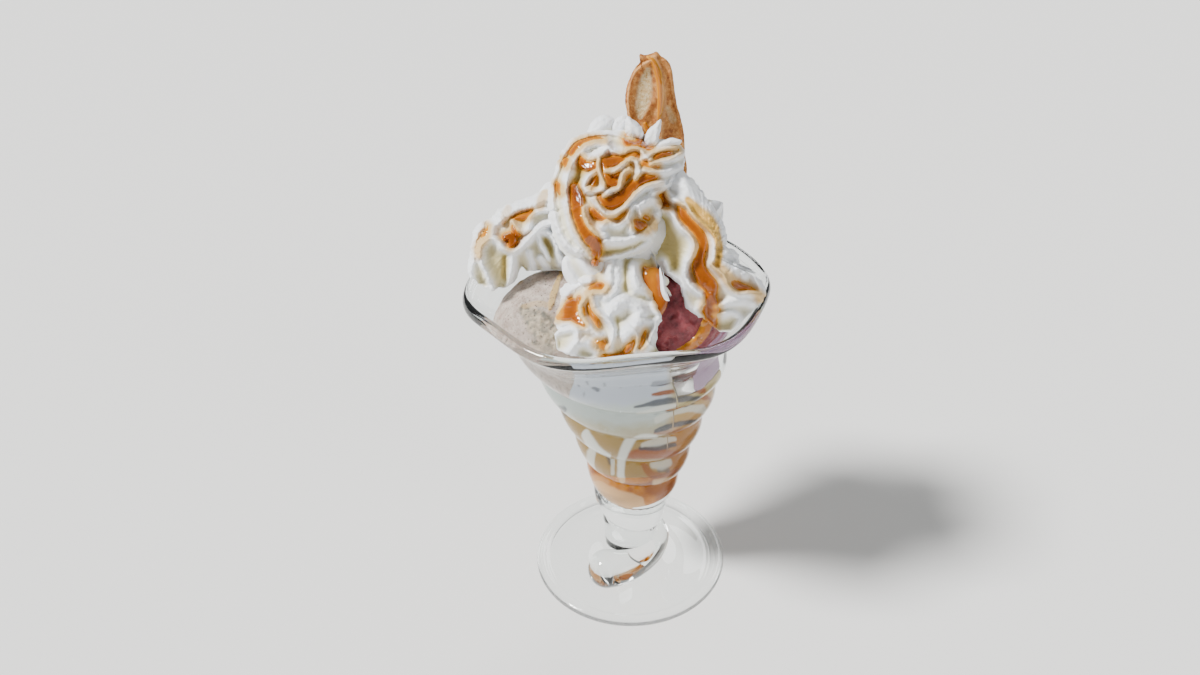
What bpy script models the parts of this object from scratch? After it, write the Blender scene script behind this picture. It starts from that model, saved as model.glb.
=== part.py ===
"""Caramel ice cream sundae in a footed spiral glass.

A pressed glass with a flared, gently scalloped rim stands on a round foot.
It holds caramel sauce at the bottom, vanilla ice cream above it, a speckled
scoop on the left and a dark berry scoop on the right.  Ribbons of whipped
cream from a star nozzle lie over the scoops, thick caramel runs in their
grooves, and a curled crisp wafer stands behind the rosette.

The frame's origin is on the table under the middle of the glass's mouth,
+Z is up and the shown side faces -Y.  Lengths are in millimetres here and
become metres when a mesh is made.
"""
import bmesh
import bpy
import numpy as np
from math import pi, radians

MM = 0.001                      # one millimetre in Blender's metres

# ---------------------------------------------------------------- glass
RIM_RADIUS = 60.0
RIM_HEIGHT = 148.5
LIP_HEIGHT = 5.0                # the rolled band round the mouth
LIP_THICKNESS = 3.6
WALL = 3.0
SCALLOPS = 6
SCALLOP_RADIAL = 1.0
SCALLOP_RISE = 1.0
SCALLOP_TURN = radians(9.0)
FOOT_RADIUS = 44.3
FOOT_BEAD = 4.2                 # height and width of the bead round the foot
FOOT_PLATE = 2.8                # thickness of the foot inside the bead
INNER_BOTTOM = 43.0             # height of the lowest point of the contents
RIDGE_PITCH = 16.5              # rise of the spiral ridge in one turn
RIDGE_PHASE = 0.64              # turns by which the spiral is set off
RIDGE_DEPTH = 1.5
FOOT_SHIFT = 4.5                # the foot stands a little right of the mouth
STEM_SHIFT = 6.0                # and the spiral stem swings a little further
# the tail of the spiral at the foot: points of its centre line with its radius
CURL = ((13.0, 10.0, 17.0, 4.6), (18.0, 0.0, 14.8, 4.7), (15.0, -9.0, 12.6, 5.2),
        (8.0, -15.0, 11.2, 6.3), (0.5, -18.3, 10.8, 7.8), (-6.0, -19.3, 11.0, 8.7))
# height, outer radius of the stem and bowl
OUTER_STATIONS = ((2.0, 11.2), (12.0, 11.7), (22.0, 12.4), (33.0, 13.4),
                  (43.0, 16.8), (55.0, 19.6), (70.0, 23.4), (85.0, 28.2),
                  (100.0, 33.2), (115.0, 39.2), (130.0, 44.4), (143.5, 58.4))

# ------------------------------------------------------------- contents
GAP = 0.5                       # clear space left between two pieces
CARAMEL_LEVEL = 66.0
VANILLA_LEVEL = 103.0
LEFT_SCOOP = ((-22.5, -18.0, 133.0), 26.5)
RIGHT_SCOOP = ((22.0, -12.0, 142.0), 20.0)
RIGHT_MELT = ((31.0, -5.0, 128.0), (12.0, 13.0, 13.5))    # melted against the glass
BACK_SCOOP = ((0.0, 18.0), 17.0, 46.0)      # centre, spread, rise
FRONT_BLOCK = (-16.5, 19.5, -27.0, 134.0)   # its left, right, back and height
FRONT_RISE = 11.0               # how much higher the vanilla stands all along the front

# -------------------------------------------------------- whipped cream
ROSETTE_CENTRE = (0.8, -9.0, 187.0)
ROSETTE_AXIS = (-0.06, -0.74, 0.67)
ROSETTE_RADIUS = 25.0
ROSETTE_FRONT = 16.0            # from its widest ring to its tip
ROSETTE_BACK = 17.0
ROSETTE_RIDGES = 5
ROSETTE_TURNS = 0.95            # how far a ridge winds from tip to back
# ribbons: points of the centre line with the ribbon's radius at each
LEFT_RIBBON = ((-4, 0, 181, 14), (-22, -4, 175, 15.5), (-36, -10, 169, 15.5),
               (-46, -14, 166, 13.5), (-53.5, -16.5, 164.5, 9.5))
RIGHT_RIBBON = ((14, -4, 191, 10), (24, -10, 184, 11.5), (29.5, -16, 172, 12.5),
                (38.5, -20, 158.5, 14), (45.5, -25, 150, 10.5))
FRONT_RIBBON = ((2, -18, 172, 12), (8, -32, 164.5, 11.5), (-9, -38, 160.5, 11.5),
                (-14.5, -41, 152, 11), (1, -43, 148.5, 11.5), (10, -43, 146, 7.5))
BACK_RIBBONS = (((-2, 10, 184, 13), (-12, 24, 174, 15), (-22, 35, 163, 13),
                 (-29, 41, 156, 7)),
                ((8, 10, 182, 13), (22, 20, 171, 14.5), (33, 28, 161, 12.5),
                 (40, 32, 155, 7)))
CORE = ((0.0, -2.0, 170.0), (27.0, 24.0, 21.0))
BACK_CURL = ((3.0, 10.0, 193.0), (0.0, 0.25, 0.97), 19.5)
# small torn peaks behind the rosette: root, tip, thickness
PEAKS = (((10, -4, 200), (15.5, -3, 212), 4.2),
         ((13, -6, 197), (24, -5, 203), 4.2),
         ((-10, 2, 200), (-5, 3, 211), 5.0))

# ---------------------------------------------------------------- wafer
WAFER_TOP = (11.5, 20.0, 231.5)
WAFER_FOOT = (16.0, 13.0, 170.0)
WAFER_HALF_WIDTH = 10.5
WAFER_THICKNESS = 2.4


# ------------------------------------------------------------ small tools
def clear_scene():
    for thing in list(bpy.data.objects):
        bpy.data.objects.remove(thing, do_unlink=True)


def srgb(code):
    """Linear red, green and blue of a colour written as RRGGBB."""
    parts = [int(code[i:i + 2], 16) / 255 for i in (0, 2, 4)]
    return [c / 12.92 if c <= 0.04045 else ((c + 0.055) / 1.055) ** 2.4
            for c in parts] + [1.0]


def material(name, colour, roughness, transmission=0.0):
    mat = bpy.data.materials.new(name)
    mat.use_nodes = True
    shader = mat.node_tree.nodes["Principled BSDF"]
    shader.inputs["Base Color"].default_value = srgb(colour)
    shader.inputs["Roughness"].default_value = roughness
    shader.inputs["Metallic"].default_value = 0.0
    shader.inputs["Transmission Weight"].default_value = transmission
    mat.diffuse_color = srgb(colour)
    return mat


def unit(v):
    v = np.asarray(v, float)
    return v / np.linalg.norm(v)


def eased(x, xs, ys):
    """Monotone smooth curve through the points (xs, ys)."""
    xs, ys = np.asarray(xs, float), np.asarray(ys, float)
    x = np.clip(x, xs[0], xs[-1])
    slopes = np.diff(ys) / np.diff(xs)
    tangents = np.concatenate(([slopes[0]], np.zeros(len(xs) - 2), [slopes[-1]]))
    for i in range(1, len(xs) - 1):
        if slopes[i - 1] * slopes[i] > 0:
            tangents[i] = 2 / (1 / slopes[i - 1] + 1 / slopes[i])
    i = np.clip(np.searchsorted(xs, x) - 1, 0, len(xs) - 2)
    h = xs[i + 1] - xs[i]
    t = (x - xs[i]) / h
    return ((1 + 2 * t) * (1 - t) ** 2 * ys[i] + t * (1 - t) ** 2 * h * tangents[i]
            + t * t * (3 - 2 * t) * ys[i + 1] - t * t * (1 - t) * h * tangents[i + 1])


def grid_object(name, rows, mat):
    """One closed body from rings of points.

    rows has the shape (rings, points round, 3) in millimetres.  The first
    and last ring are closed by a fan to their mean point.
    """
    rows = np.asarray(rows, float)
    rings, around = rows.shape[:2]
    points = rows.reshape(-1, 3)
    first, last = len(points), len(points) + 1
    points = np.vstack([points, rows[0].mean(axis=0), rows[-1].mean(axis=0)])
    faces = []
    for j in range(rings - 1):
        for i in range(around):
            a, b = j * around + i, j * around + (i + 1) % around
            c, d = b + around, a + around
            faces += [(a, b, c), (a, c, d)]
    base = (rings - 1) * around
    for i in range(around):
        k = (i + 1) % around
        faces += [(first, k, i), (last, base + i, base + k)]
    tri = points[np.array(faces)]
    volume = np.einsum("ij,ij->i", tri[:, 0], np.cross(tri[:, 1], tri[:, 2])).sum()
    if volume < 0:
        faces = [f[::-1] for f in faces]
    mesh = bpy.data.meshes.new(name)
    mesh.from_pydata((points * MM).tolist(), [], faces)
    mesh.materials.append(mat)
    mesh.shade_smooth()
    mesh.set_sharp_from_angle(angle=radians(50))
    obj = bpy.data.objects.new(name, mesh)
    bpy.context.scene.collection.objects.link(obj)
    return obj


def boolean(obj, others, operation, solver="EXACT"):
    """Join or cut obj with a collection of other bodies, which go."""
    group = bpy.data.collections.new("joined")
    bpy.context.scene.collection.children.link(group)
    for other in others:
        for home in list(other.users_collection):
            home.objects.unlink(other)
        group.objects.link(other)
    step = obj.modifiers.new(operation.title(), "BOOLEAN")
    step.operation = operation
    step.solver = solver
    if operation == "INTERSECT" or len(others) == 1:
        step.object = others[0]
    else:
        step.operand_type = "COLLECTION"
        step.collection = group
    view = bpy.context.evaluated_depsgraph_get()
    view.update()
    mesh = bpy.data.meshes.new_from_object(obj.evaluated_get(view))
    obj.modifiers.clear()
    obj.data = mesh
    for other in others:
        bpy.data.objects.remove(other, do_unlink=True)
    bpy.data.collections.remove(group)
    return obj


def keep_main_body(obj):
    """Keep the largest connected shell: fills sealed hollows, drops scraps."""
    mesh = obj.data
    points = np.array([v.co for v in mesh.vertices])
    owner = np.arange(len(points))

    def root(i):
        while owner[i] != i:
            owner[i] = owner[owner[i]]
            i = owner[i]
        return i

    for edge in mesh.edges:
        a, b = root(edge.vertices[0]), root(edge.vertices[1])
        owner[a] = b
    label = np.array([root(i) for i in range(len(points))])
    spans = {k: np.prod(np.ptp(points[label == k], axis=0)) for k in set(label)}
    main = max(spans, key=spans.get)
    bm = bmesh.new()
    bm.from_mesh(mesh)
    bm.verts.ensure_lookup_table()
    bmesh.ops.delete(bm, geom=[v for v in bm.verts if label[v.index] != main],
                     context="VERTS")
    bm.to_mesh(mesh)
    bm.free()
    return obj


# ------------------------------------------------------------------ glass
def centre_x(z):
    """The glass's centre line: foot, stem and mouth are not quite in line."""
    return eased(z, (0.0, 14.0, 40.0, 66.0, 90.0, 112.0, 132.0, 150.0),
                 (FOOT_SHIFT, FOOT_SHIFT + 0.3, STEM_SHIFT, 7.1, 6.2, 4.4, -1.4, 0.0))


def scallop(theta):
    return np.cos(SCALLOPS * (theta - SCALLOP_TURN))


def bowl_radius(z):
    heights, radii = zip(*OUTER_STATIONS)
    return eased(z, heights, radii)


def stepped_radius(z, theta):
    """Outside of the bowl: cups stacked in a spiral.

    Over each pitch the radius goes from its value at the cup's foot to that
    at its brim by sin(a quarter turn of the way) ^ 0.9, so the brim stands
    upright, and it dips by the ridge's depth in the seam.
    """
    turn = (z / RIDGE_PITCH + theta / (2 * pi) + RIDGE_PHASE) % 1.0
    foot = z - turn * RIDGE_PITCH
    step = np.sin(pi / 2 * np.clip(turn * 1.25, 0, 1)) ** 0.9
    low, high = bowl_radius(foot), bowl_radius(foot + RIDGE_PITCH)
    cups = low + (high - low) * step - 0.6 * RIDGE_DEPTH * np.abs(2 * turn - 1) ** 5
    amount = np.clip((z - 16) / 10, 0, 1) * np.clip((132 - z) / 14, 0, 1)
    return bowl_radius(z) * (1 - amount) + cups * amount


# heights of the rings that make the smooth inside
INNER_LEVELS = (43.3, 45.0, 49.0, 56.0, 72.0, 92.0, 112.0, 126.0, 134.0, 141.0)


def inner_radius(z):
    """Inside of the bowl, smooth, closing to a round bottom."""
    depth = np.clip((z - INNER_BOTTOM) / 9.0, 0, 1)
    return (bowl_radius(z) - WALL - 0.6) * np.sqrt(np.clip(1 - (1 - depth) ** 2, 0, 1))


def ring(z, radius, theta):
    """One level ring of the glass, with the rim's scallops growing upwards."""
    z = np.broadcast_to(z, theta.shape).astype(float)
    lobes = scallop(theta) * np.clip((z - 112) / 30, 0, 1) ** 1.5
    r = radius + SCALLOP_RADIAL * lobes
    return np.stack([centre_x(z) + r * np.cos(theta), r * np.sin(theta),
                     z - SCALLOP_RISE * lobes], axis=-1)


def glass_bowl(mat, around=32):
    theta = np.arange(around) * 2 * pi / around
    rows = []
    for z in np.concatenate([np.linspace(2.0, 18.0, 5), np.linspace(21.0, 126.0, 36),
                             np.linspace(129.5, 142.0, 5)]):
        rows.append(ring(z, stepped_radius(z, theta), theta))
    top, out = RIM_HEIGHT, RIM_RADIUS
    for dr, dz in ((-0.6, -LIP_HEIGHT), (0.0, -3.0), (-0.4, -1.0), (-1.7, 0.0),
                   (-3.0, -0.9), (-LIP_THICKNESS, -3.2)):
        rows.append(ring(top + dz, out + dr, theta))
    for z in INNER_LEVELS[::-1]:
        rows.append(ring(z, inner_radius(z), theta))
    return grid_object("glass", rows, mat)


def glass_foot(mat, around=32):
    """Round foot with a bead at its edge, slightly domed to the stem."""
    theta = np.arange(around) * 2 * pi / around
    profile = ((8.0, 0.8), (FOOT_RADIUS - 6.5, 0.8), (FOOT_RADIUS - 5.0, 0.0),
               (FOOT_RADIUS - 1.6, 0.0), (FOOT_RADIUS, 1.7),
               (FOOT_RADIUS - 0.8, FOOT_BEAD - 0.7), (FOOT_RADIUS - 2.2, FOOT_BEAD),
               (FOOT_RADIUS - 4.4, FOOT_PLATE), (24.0, FOOT_PLATE + 0.6), (10.0, 6.5))
    rows = [np.stack([FOOT_SHIFT + r * np.cos(theta), r * np.sin(theta),
                      np.full(around, z)], axis=-1) for r, z in profile]
    return grid_object("foot", rows, mat)


def sweep(path, radii, sides=12):
    """Rings of a plain round tube along a path with rounded ends."""
    path, radii = np.asarray(path, float), np.asarray(radii, float)
    side, up = frames(path)
    u = np.arange(sides) * 2 * pi / sides
    return np.array([p + r * (np.outer(np.cos(u), a) + np.outer(np.sin(u), b))
                     for p, r, a, b in zip(path, radii, side, up)])


def glass_curl(mat):
    """Tail of the spiral: it comes round the stem and ends in a round knob."""
    path = smooth_path(CURL, 12)
    centre, radius = path[-1, :3], path[-1, 3]
    way = centre - path[-2, :3]
    way /= np.linalg.norm(way)
    turn = np.radians([25.0, 50.0, 70.0, 84.0])
    ball = np.column_stack([centre + radius * np.sin(turn)[:, None] * way,
                            radius * np.cos(turn)])
    path = np.vstack([path, ball])
    return grid_object("curl", sweep(path[:, :3], path[:, 3], 12), mat)


# ---------------------------------------------------------- paths, frames
def smooth_path(points, n):
    """Catmull-Rom curve through the points; the radius goes with them."""
    p = np.asarray(points, float)
    p = np.vstack([2 * p[0] - p[1], p, 2 * p[-1] - p[-2]])
    s = np.linspace(0, len(points) - 1 - 1e-9, n)
    i = s.astype(int)
    t = (s - i)[:, None]
    a, b, c, d = p[i], p[i + 1], p[i + 2], p[i + 3]
    return 0.5 * (2 * b + (c - a) * t + (2 * a - 5 * b + 4 * c - d) * t ** 2
                  + (3 * b - a - 3 * c + d) * t ** 3)


def frames(path):
    """Two directions across a path at each point, carried without twist."""
    tangent = np.gradient(path, axis=0)
    tangent /= np.linalg.norm(tangent, axis=1)[:, None]
    side = np.cross(tangent[0], (0.0, 0.0, 1.0))
    side = unit(side) if np.linalg.norm(side) > 1e-3 else np.array((1.0, 0, 0))
    sides = []
    for t in tangent:
        side = unit(side - t * side.dot(t))
        sides.append(side)
    sides = np.array(sides)
    return sides, np.cross(sides, tangent)


# --------------------------------------------------------- cream shapes
def star(u, ridges, depth):
    """Section of cream from a star nozzle: narrow crests, round grooves."""
    return 1 - depth * (np.sqrt(np.sin(ridges * u / 2) ** 2 + 0.02) - 0.14)


def ribbon_rings(points, ridges=5, depth=0.30, twist=0.2, wave=0.10, waves=2.5,
                 phase=0.0, per_ridge=4, along=11):
    """A piped ribbon: the star section carried along a smooth path.

    u goes round the section and v from 0 to 1 along the ribbon.  Each line of
    constant u follows a crest or a groove, so it turns with the ribbon's
    twist and sways by a sine of v, as the piping bag wobbles.
    """
    path = smooth_path(points, along)
    side, up = frames(path[:, :3])
    v = np.linspace(0, 1, along)
    ends = np.sqrt(np.clip(1 - ((v - 0.90) / 0.10).clip(0, 1) ** 2, 0.08, 1))
    u = np.arange(ridges * per_ridge) * 2 * pi / (ridges * per_ridge)
    rows = []
    for k in range(along):
        beat = np.sin(2 * pi * waves * v[k] + phase + u)
        angle = u + twist * v[k] * 2 * pi + 2.2 * wave * beat
        r = path[k, 3] * ends[k] * star(u, ridges, depth) * (1 + wave * beat)
        rows.append(path[k, :3] + np.outer(r * np.cos(angle), side[k])
                    + np.outer(r * np.sin(angle), up[k]))
    return np.array(rows)


def axis_frame(axis):
    """Two directions across an axis; the first is level, to the right."""
    axis = unit(axis)
    right = np.cross((0.0, 0.0, 1.0), axis) * -1
    if np.linalg.norm(right) < 1e-3:
        right = np.array((1.0, 0.0, 0.0))
    right = unit(right)
    if right[0] < 0:
        right = -right
    return axis, right, np.cross(axis, right)


def dome_rings(centre, axis, radius, front, back, ridges, depth, turns,
               per_ridge=4, along=15, phase=0.0):
    """A swirled rosette: star ridges that wind from its tip to its back.

    v goes from the tip (0) to the back (1); the ring's radius is
    radius * sin(pi v)^0.8 and its place on the axis runs from front to -back.
    Each line of constant u follows one crest or groove.
    """
    axis, right, up = axis_frame(axis)
    u = np.arange(ridges * per_ridge) * 2 * pi / (ridges * per_ridge)
    rows = []
    for t in np.linspace(0.03, 0.97, along):
        h = front * np.cos(pi * t) if t < 0.5 else back * np.cos(pi * t)
        rho = radius * np.sin(pi * t) ** 0.8
        groove = depth * np.clip(np.sin(pi * t) * 1.6, 0.25, 1)
        angle = u + 2 * pi * turns * t + phase
        r = rho * star(u, ridges, groove)
        rows.append(np.asarray(centre) + h * axis + np.outer(r * np.cos(angle), right)
                    + np.outer(r * np.sin(angle), up))
    return np.array(rows)


def ellipsoid_rings(centre, radii, around=16, along=10, lumps=0.0, seed=0.0):
    """A scoop: an ellipsoid with a few broad, shallow lumps."""
    u = np.arange(around) * 2 * pi / around
    rows = []
    for v in np.linspace(0.04, 0.96, along):
        p = np.stack([np.sin(pi * v) * np.cos(u), np.sin(pi * v) * np.sin(u),
                      np.full(around, np.cos(pi * v))], axis=-1)
        swell = 1 + lumps * (np.sin(3.1 * p[:, 0] * 2 + seed) * np.sin(2.7 * p[:, 2] * 2 + seed)
                             + 0.6 * np.sin(5.3 * p[:, 1] + 2 * seed))
        rows.append(np.asarray(centre) + p * swell[:, None] * np.asarray(radii))
    return np.array(rows)


def peak_rings(root, tip, thickness):
    root, tip = np.asarray(root, float), np.asarray(tip, float)
    t = np.linspace(0, 1, 5)
    bend = np.outer(np.sin(pi * t), (0, 0, 1.2))
    path = root + np.outer(t, tip - root) + bend
    return sweep(path, thickness * np.array((0.8, 1, 0.85, 0.6, 0.15)), 6)


def drizzle_rings(rows, groove, start, stop, width, rise=0.4, sides=6):
    """A thick run of sauce that lies in one groove of a ribbon or rosette."""
    centre = rows.mean(axis=1)
    levels = np.linspace(start, stop, 8) * (len(rows) - 1)
    line = np.array([[np.interp(k, np.arange(len(rows)), rows[:, groove, axis])
                      for axis in range(3)] for k in levels])
    inner = np.array([[np.interp(k, np.arange(len(rows)), centre[:, axis])
                       for axis in range(3)] for k in levels])
    away = line - inner
    line = line + rise * away / np.linalg.norm(away, axis=1)[:, None]
    swell = np.array((0.4, 0.85, 1.0, 0.9, 1.05, 1.0, 0.9, 0.5))
    return sweep(line, width * swell, sides)


# --------------------------------------------------------------- contents
def cavity(mat, gap, top=260.0, around=24):
    """The space inside the glass, and all the space above its rim."""
    theta = np.arange(around) * 2 * pi / around
    rows = [ring(z + gap, np.maximum(inner_radius(z) - gap, 0.3), theta)
            for z in INNER_LEVELS]
    rows.append(ring(RIM_HEIGHT - 3.2, RIM_RADIUS - LIP_THICKNESS - gap, theta))
    rows.append(ring(RIM_HEIGHT + 0.6 + gap, RIM_RADIUS - 3.0 - gap, theta))
    rows.append(ring(RIM_HEIGHT + 2.0 + gap, RIM_RADIUS + 6.0, theta))
    rows.append(ring(top, RIM_RADIUS + 20.0, theta))
    return grid_object("cavity", rows, mat)


def vanilla_top(x, y):
    """Height of the vanilla's upper surface.

    It is level, with a mound behind and a rise all along the front and, between
    the two scoops, a block that is pressed on the glass up to the mouth.
    """
    (bx, by), spread, rise = BACK_SCOOP
    mound = rise * np.exp(-((x - bx) ** 2 + (y - by) ** 2) / (2 * spread ** 2))
    left, right, back, height = FRONT_BLOCK
    level = (VANILLA_LEVEL + mound + 1.2 * np.sin(x / 7.0) * np.cos(y / 6.0)
             - 5.0 * np.clip((x - 12) / 20, 0, 1)
             + (FRONT_RISE + 4.0 * np.clip((x - 14) / 4, 0, 1)) * np.clip((-4 - y) / 8, 0, 1))
    block = (np.clip((x - left) / 3 + 0.5, 0, 1) * np.clip((right - x) / 3 + 0.5, 0, 1)
             * np.clip((back - y) / 4 + 0.5, 0, 1))
    return level + (height - level) * block


# degrees round the fillings, closer where the front block has its sides
FILLING_ANGLES = (-126.0, -121.0, -116.0, -111.0, -102.0, -94.0, -86.0, -78.0, -73.0, -68.0,
                  -63.0, -51.0, -39.0, -26.0, -13.0, 0.0, 15.0, 30.0, 45.0, 60.0, 75.0, 90.0,
                  105.0, 120.0, 135.0, 150.0, 165.0, 180.0, 195.0, 210.0, 222.0)


def caramel_top(x, y):
    return CARAMEL_LEVEL + 2.0 * np.sin(x / 8.0 + 0.6) + 1.5 * np.cos(y / 7.0)


def filling_rings(bottom, top, grow=0.0):
    """A block of filling between two height functions, wider than the glass.

    It is cut to the inside of the glass afterwards.
    """
    theta = np.radians(FILLING_ANGLES)
    reach = np.array((0.4, 9.0, 17.0, 24.0, 30.0, 35.0, 39.0, 45.0, 62.0))
    rows = []
    for r in reach:
        x, y = STEM_SHIFT + r * np.cos(theta), r * np.sin(theta)
        rows.append(np.stack([x, y, top(x, y) + grow], axis=-1))
    for r in reach[::-1]:
        x, y = STEM_SHIFT + r * np.cos(theta), r * np.sin(theta)
        rows.append(np.stack([x, y, bottom(x, y) - grow], axis=-1))
    return np.array(rows)


# ------------------------------------------------------------------ wafer
def wafer_rings(grow=0.0, across=9, along=12):
    """A thin crisp leaf, hollowed in front, with its right edge bent back.

    s goes from -1 at its left edge to 1 at its right edge, t from 0 at its
    top to 1 at its buried end.
    """
    top, foot = np.asarray(WAFER_TOP, float), np.asarray(WAFER_FOOT, float)
    past = grow / np.linalg.norm(foot - top)
    t = np.linspace(-past, 1 + past, along)
    s = np.linspace(-1, 1, across)
    rows = []
    for k in t:
        centre = top + (foot - top) * k + np.array((0.0, 2.5 * np.sin(pi * k), 0.0))
        width = (WAFER_HALF_WIDTH * np.clip(1 - (1 - k / 0.32) ** 2, 0, 1) ** 0.5
                 if k < 0.32 else WAFER_HALF_WIDTH * (1 + 0.08 * np.sin(3 * k)))
        width = max(width, 1.6) + grow
        front = np.stack([centre[0] + s * width,
                          centre[1] - wafer_hollow(s) * min(1, width / 8),
                          np.full(across, centre[2])], axis=-1)
        edge = (WAFER_THICKNESS / 2 * np.sqrt(1 - (np.abs(s) * 0.96) ** 6) + 1.8 * grow)
        near = front - np.outer(edge, (0, 1, 0))
        far = front + np.outer(edge, (0, 1, 0))
        rows.append(np.vstack([near, far[::-1]]))
    return np.array(rows)


def wafer_hollow(s):
    """How far the leaf stands forward across its width: rim, hollow, crest."""
    return eased(s, (-1.0, -0.8, -0.2, 0.35, 0.6, 1.0), (3.2, 2.2, -1.2, 1.4, 1.0, -4.5))


# --------------------------------------------------------------- assembly
def cream_parts(mat):
    parts = []

    def add(rows):
        parts.append(grid_object("cream", rows, mat))
        return rows

    rosette = add(dome_rings(ROSETTE_CENTRE, ROSETTE_AXIS, ROSETTE_RADIUS, ROSETTE_FRONT,
                             ROSETTE_BACK, ROSETTE_RIDGES, 0.30, ROSETTE_TURNS, along=14))
    left = add(ribbon_rings(LEFT_RIBBON, phase=0.4))
    right = add(ribbon_rings(RIGHT_RIBBON, phase=1.2))
    front = add(ribbon_rings(FRONT_RIBBON, waves=3.0, along=13))
    for n, points in enumerate(BACK_RIBBONS):
        add(ribbon_rings(points, phase=n + 2.0, along=8))
    add(dome_rings(*BACK_CURL[:2], BACK_CURL[2], 17, 14, 5, 0.28, 0.6, along=9))
    for root, tip, thickness in PEAKS:
        add(peak_rings(root, tip, thickness))
    runs = ((rosette, 10, 0.30, 0.62, 2.6), (rosette, 2, 0.12, 0.34, 2.4),
            (right, 6, 0.25, 0.95, 2.4), (front, 10, 0.3, 0.6, 2.2))
    for rows, groove, start, stop, width in runs:
        parts.append(grid_object("drizzle", drizzle_rings(rows, groove, start, stop, width), mat))
    return parts


def build():
    clear_scene()
    glass_mat = material("clear_glass", "DDE6E8", 0.03, 1.0)
    caramel_mat = material("caramel", "B8661C", 0.15)
    vanilla_mat = material("vanilla", "DAD6C8", 0.5)
    speckled_mat = material("speckled", "C9BAA8", 0.6)
    berry_mat = material("berry_sorbet", "7E3238", 0.45)
    cream_mat = material("cream", "F4F1E8", 0.5)
    wafer_mat = material("wafer", "C48A4E", 0.7)

    glass = glass_bowl(glass_mat)
    boolean(glass, [glass_foot(glass_mat), glass_curl(glass_mat)], "UNION")

    floor = lambda x, y: np.full(np.shape(x), 38.0)
    pool = grid_object("caramel_pool", filling_rings(floor, caramel_top), caramel_mat)
    boolean(pool, [cavity(caramel_mat, GAP)], "INTERSECT")

    vanilla = grid_object("vanilla_ice_cream", filling_rings(
        lambda x, y: caramel_top(x, y) + GAP, vanilla_top), vanilla_mat)
    boolean(vanilla, [cavity(vanilla_mat, GAP)], "INTERSECT")

    def scoop(name, scoop_place, mat, seed, grow=0.0):
        centre, radius = scoop_place
        return grid_object(name, ellipsoid_rings(centre, np.full(3, radius + grow),
                                                 lumps=0.02, seed=seed), mat)

    def vanilla_cutter(mat):
        return grid_object("cutter", filling_rings(
            lambda x, y: caramel_top(x, y), vanilla_top, grow=GAP), mat)

    left = scoop("speckled_scoop", LEFT_SCOOP, speckled_mat, 0.5)
    boolean(left, [cavity(speckled_mat, GAP)], "INTERSECT")
    boolean(left, [vanilla_cutter(speckled_mat)], "DIFFERENCE")

    right = scoop("berry_scoop", RIGHT_SCOOP, berry_mat, 1.7)
    boolean(right, [grid_object("melt", ellipsoid_rings(*RIGHT_MELT, along=7),
                                berry_mat)], "UNION")
    boolean(right, [cavity(berry_mat, GAP)], "INTERSECT")
    boolean(right, [vanilla_cutter(berry_mat), scoop("cutter", LEFT_SCOOP, berry_mat, 0.5, GAP)],
            "DIFFERENCE")

    wafer = grid_object("wafer", wafer_rings(), wafer_mat)

    parts = cream_parts(cream_mat)
    cream = grid_object("whipped_cream", ellipsoid_rings(*CORE, along=8), cream_mat)
    boolean(cream, parts, "UNION", "MANIFOLD")
    boolean(cream, [cavity(cream_mat, GAP)], "INTERSECT", "MANIFOLD")
    boolean(cream, [vanilla_cutter(cream_mat), scoop("cutter", LEFT_SCOOP, cream_mat, 0.5, GAP),
                    scoop("cutter", RIGHT_SCOOP, cream_mat, 1.7, GAP),
                    grid_object("cutter", wafer_rings(grow=GAP), cream_mat)],
            "DIFFERENCE", "MANIFOLD")
    for obj in (pool, vanilla, left, right, cream):
        keep_main_body(obj)
    return glass, pool, vanilla, left, right, cream, wafer


build()
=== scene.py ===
"""The looks of a caramel ice cream sundae in a footed spiral glass.

Each piece is a surface worked out as whole arrays on a grid.  Lengths in the
shape functions are millimetres; `piece` turns them into metres.  The frame's
origin is on the table under the middle of the glass's mouth, +Z is up and the
shown side faces -Y.
"""

import bpy
import numpy as np
from math import pi, radians
from mathutils import Matrix, Vector


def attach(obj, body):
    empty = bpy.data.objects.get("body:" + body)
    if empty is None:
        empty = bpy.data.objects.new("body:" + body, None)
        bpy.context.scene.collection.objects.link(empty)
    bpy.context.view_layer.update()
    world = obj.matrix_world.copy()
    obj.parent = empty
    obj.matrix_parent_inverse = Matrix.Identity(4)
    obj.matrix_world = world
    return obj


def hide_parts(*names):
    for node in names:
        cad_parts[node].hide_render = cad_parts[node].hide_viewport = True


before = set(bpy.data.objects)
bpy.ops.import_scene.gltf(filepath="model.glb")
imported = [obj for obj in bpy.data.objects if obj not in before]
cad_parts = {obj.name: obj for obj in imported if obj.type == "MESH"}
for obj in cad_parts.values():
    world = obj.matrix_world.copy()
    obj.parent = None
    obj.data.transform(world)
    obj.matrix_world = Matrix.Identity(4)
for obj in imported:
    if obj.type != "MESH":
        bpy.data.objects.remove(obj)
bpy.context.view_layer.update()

bl_info = {
    "name": "Caramel sundae",
    "version": (1, 0, 0),
    "blender": (4, 5, 0),
    "location": "3D View > Sidebar > Sundae",
    "description": "Makes an ice cream sundae in a footed spiral glass",
    "category": "Add Mesh",
}

MM = 0.001                      # one millimetre in Blender's metres

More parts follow.
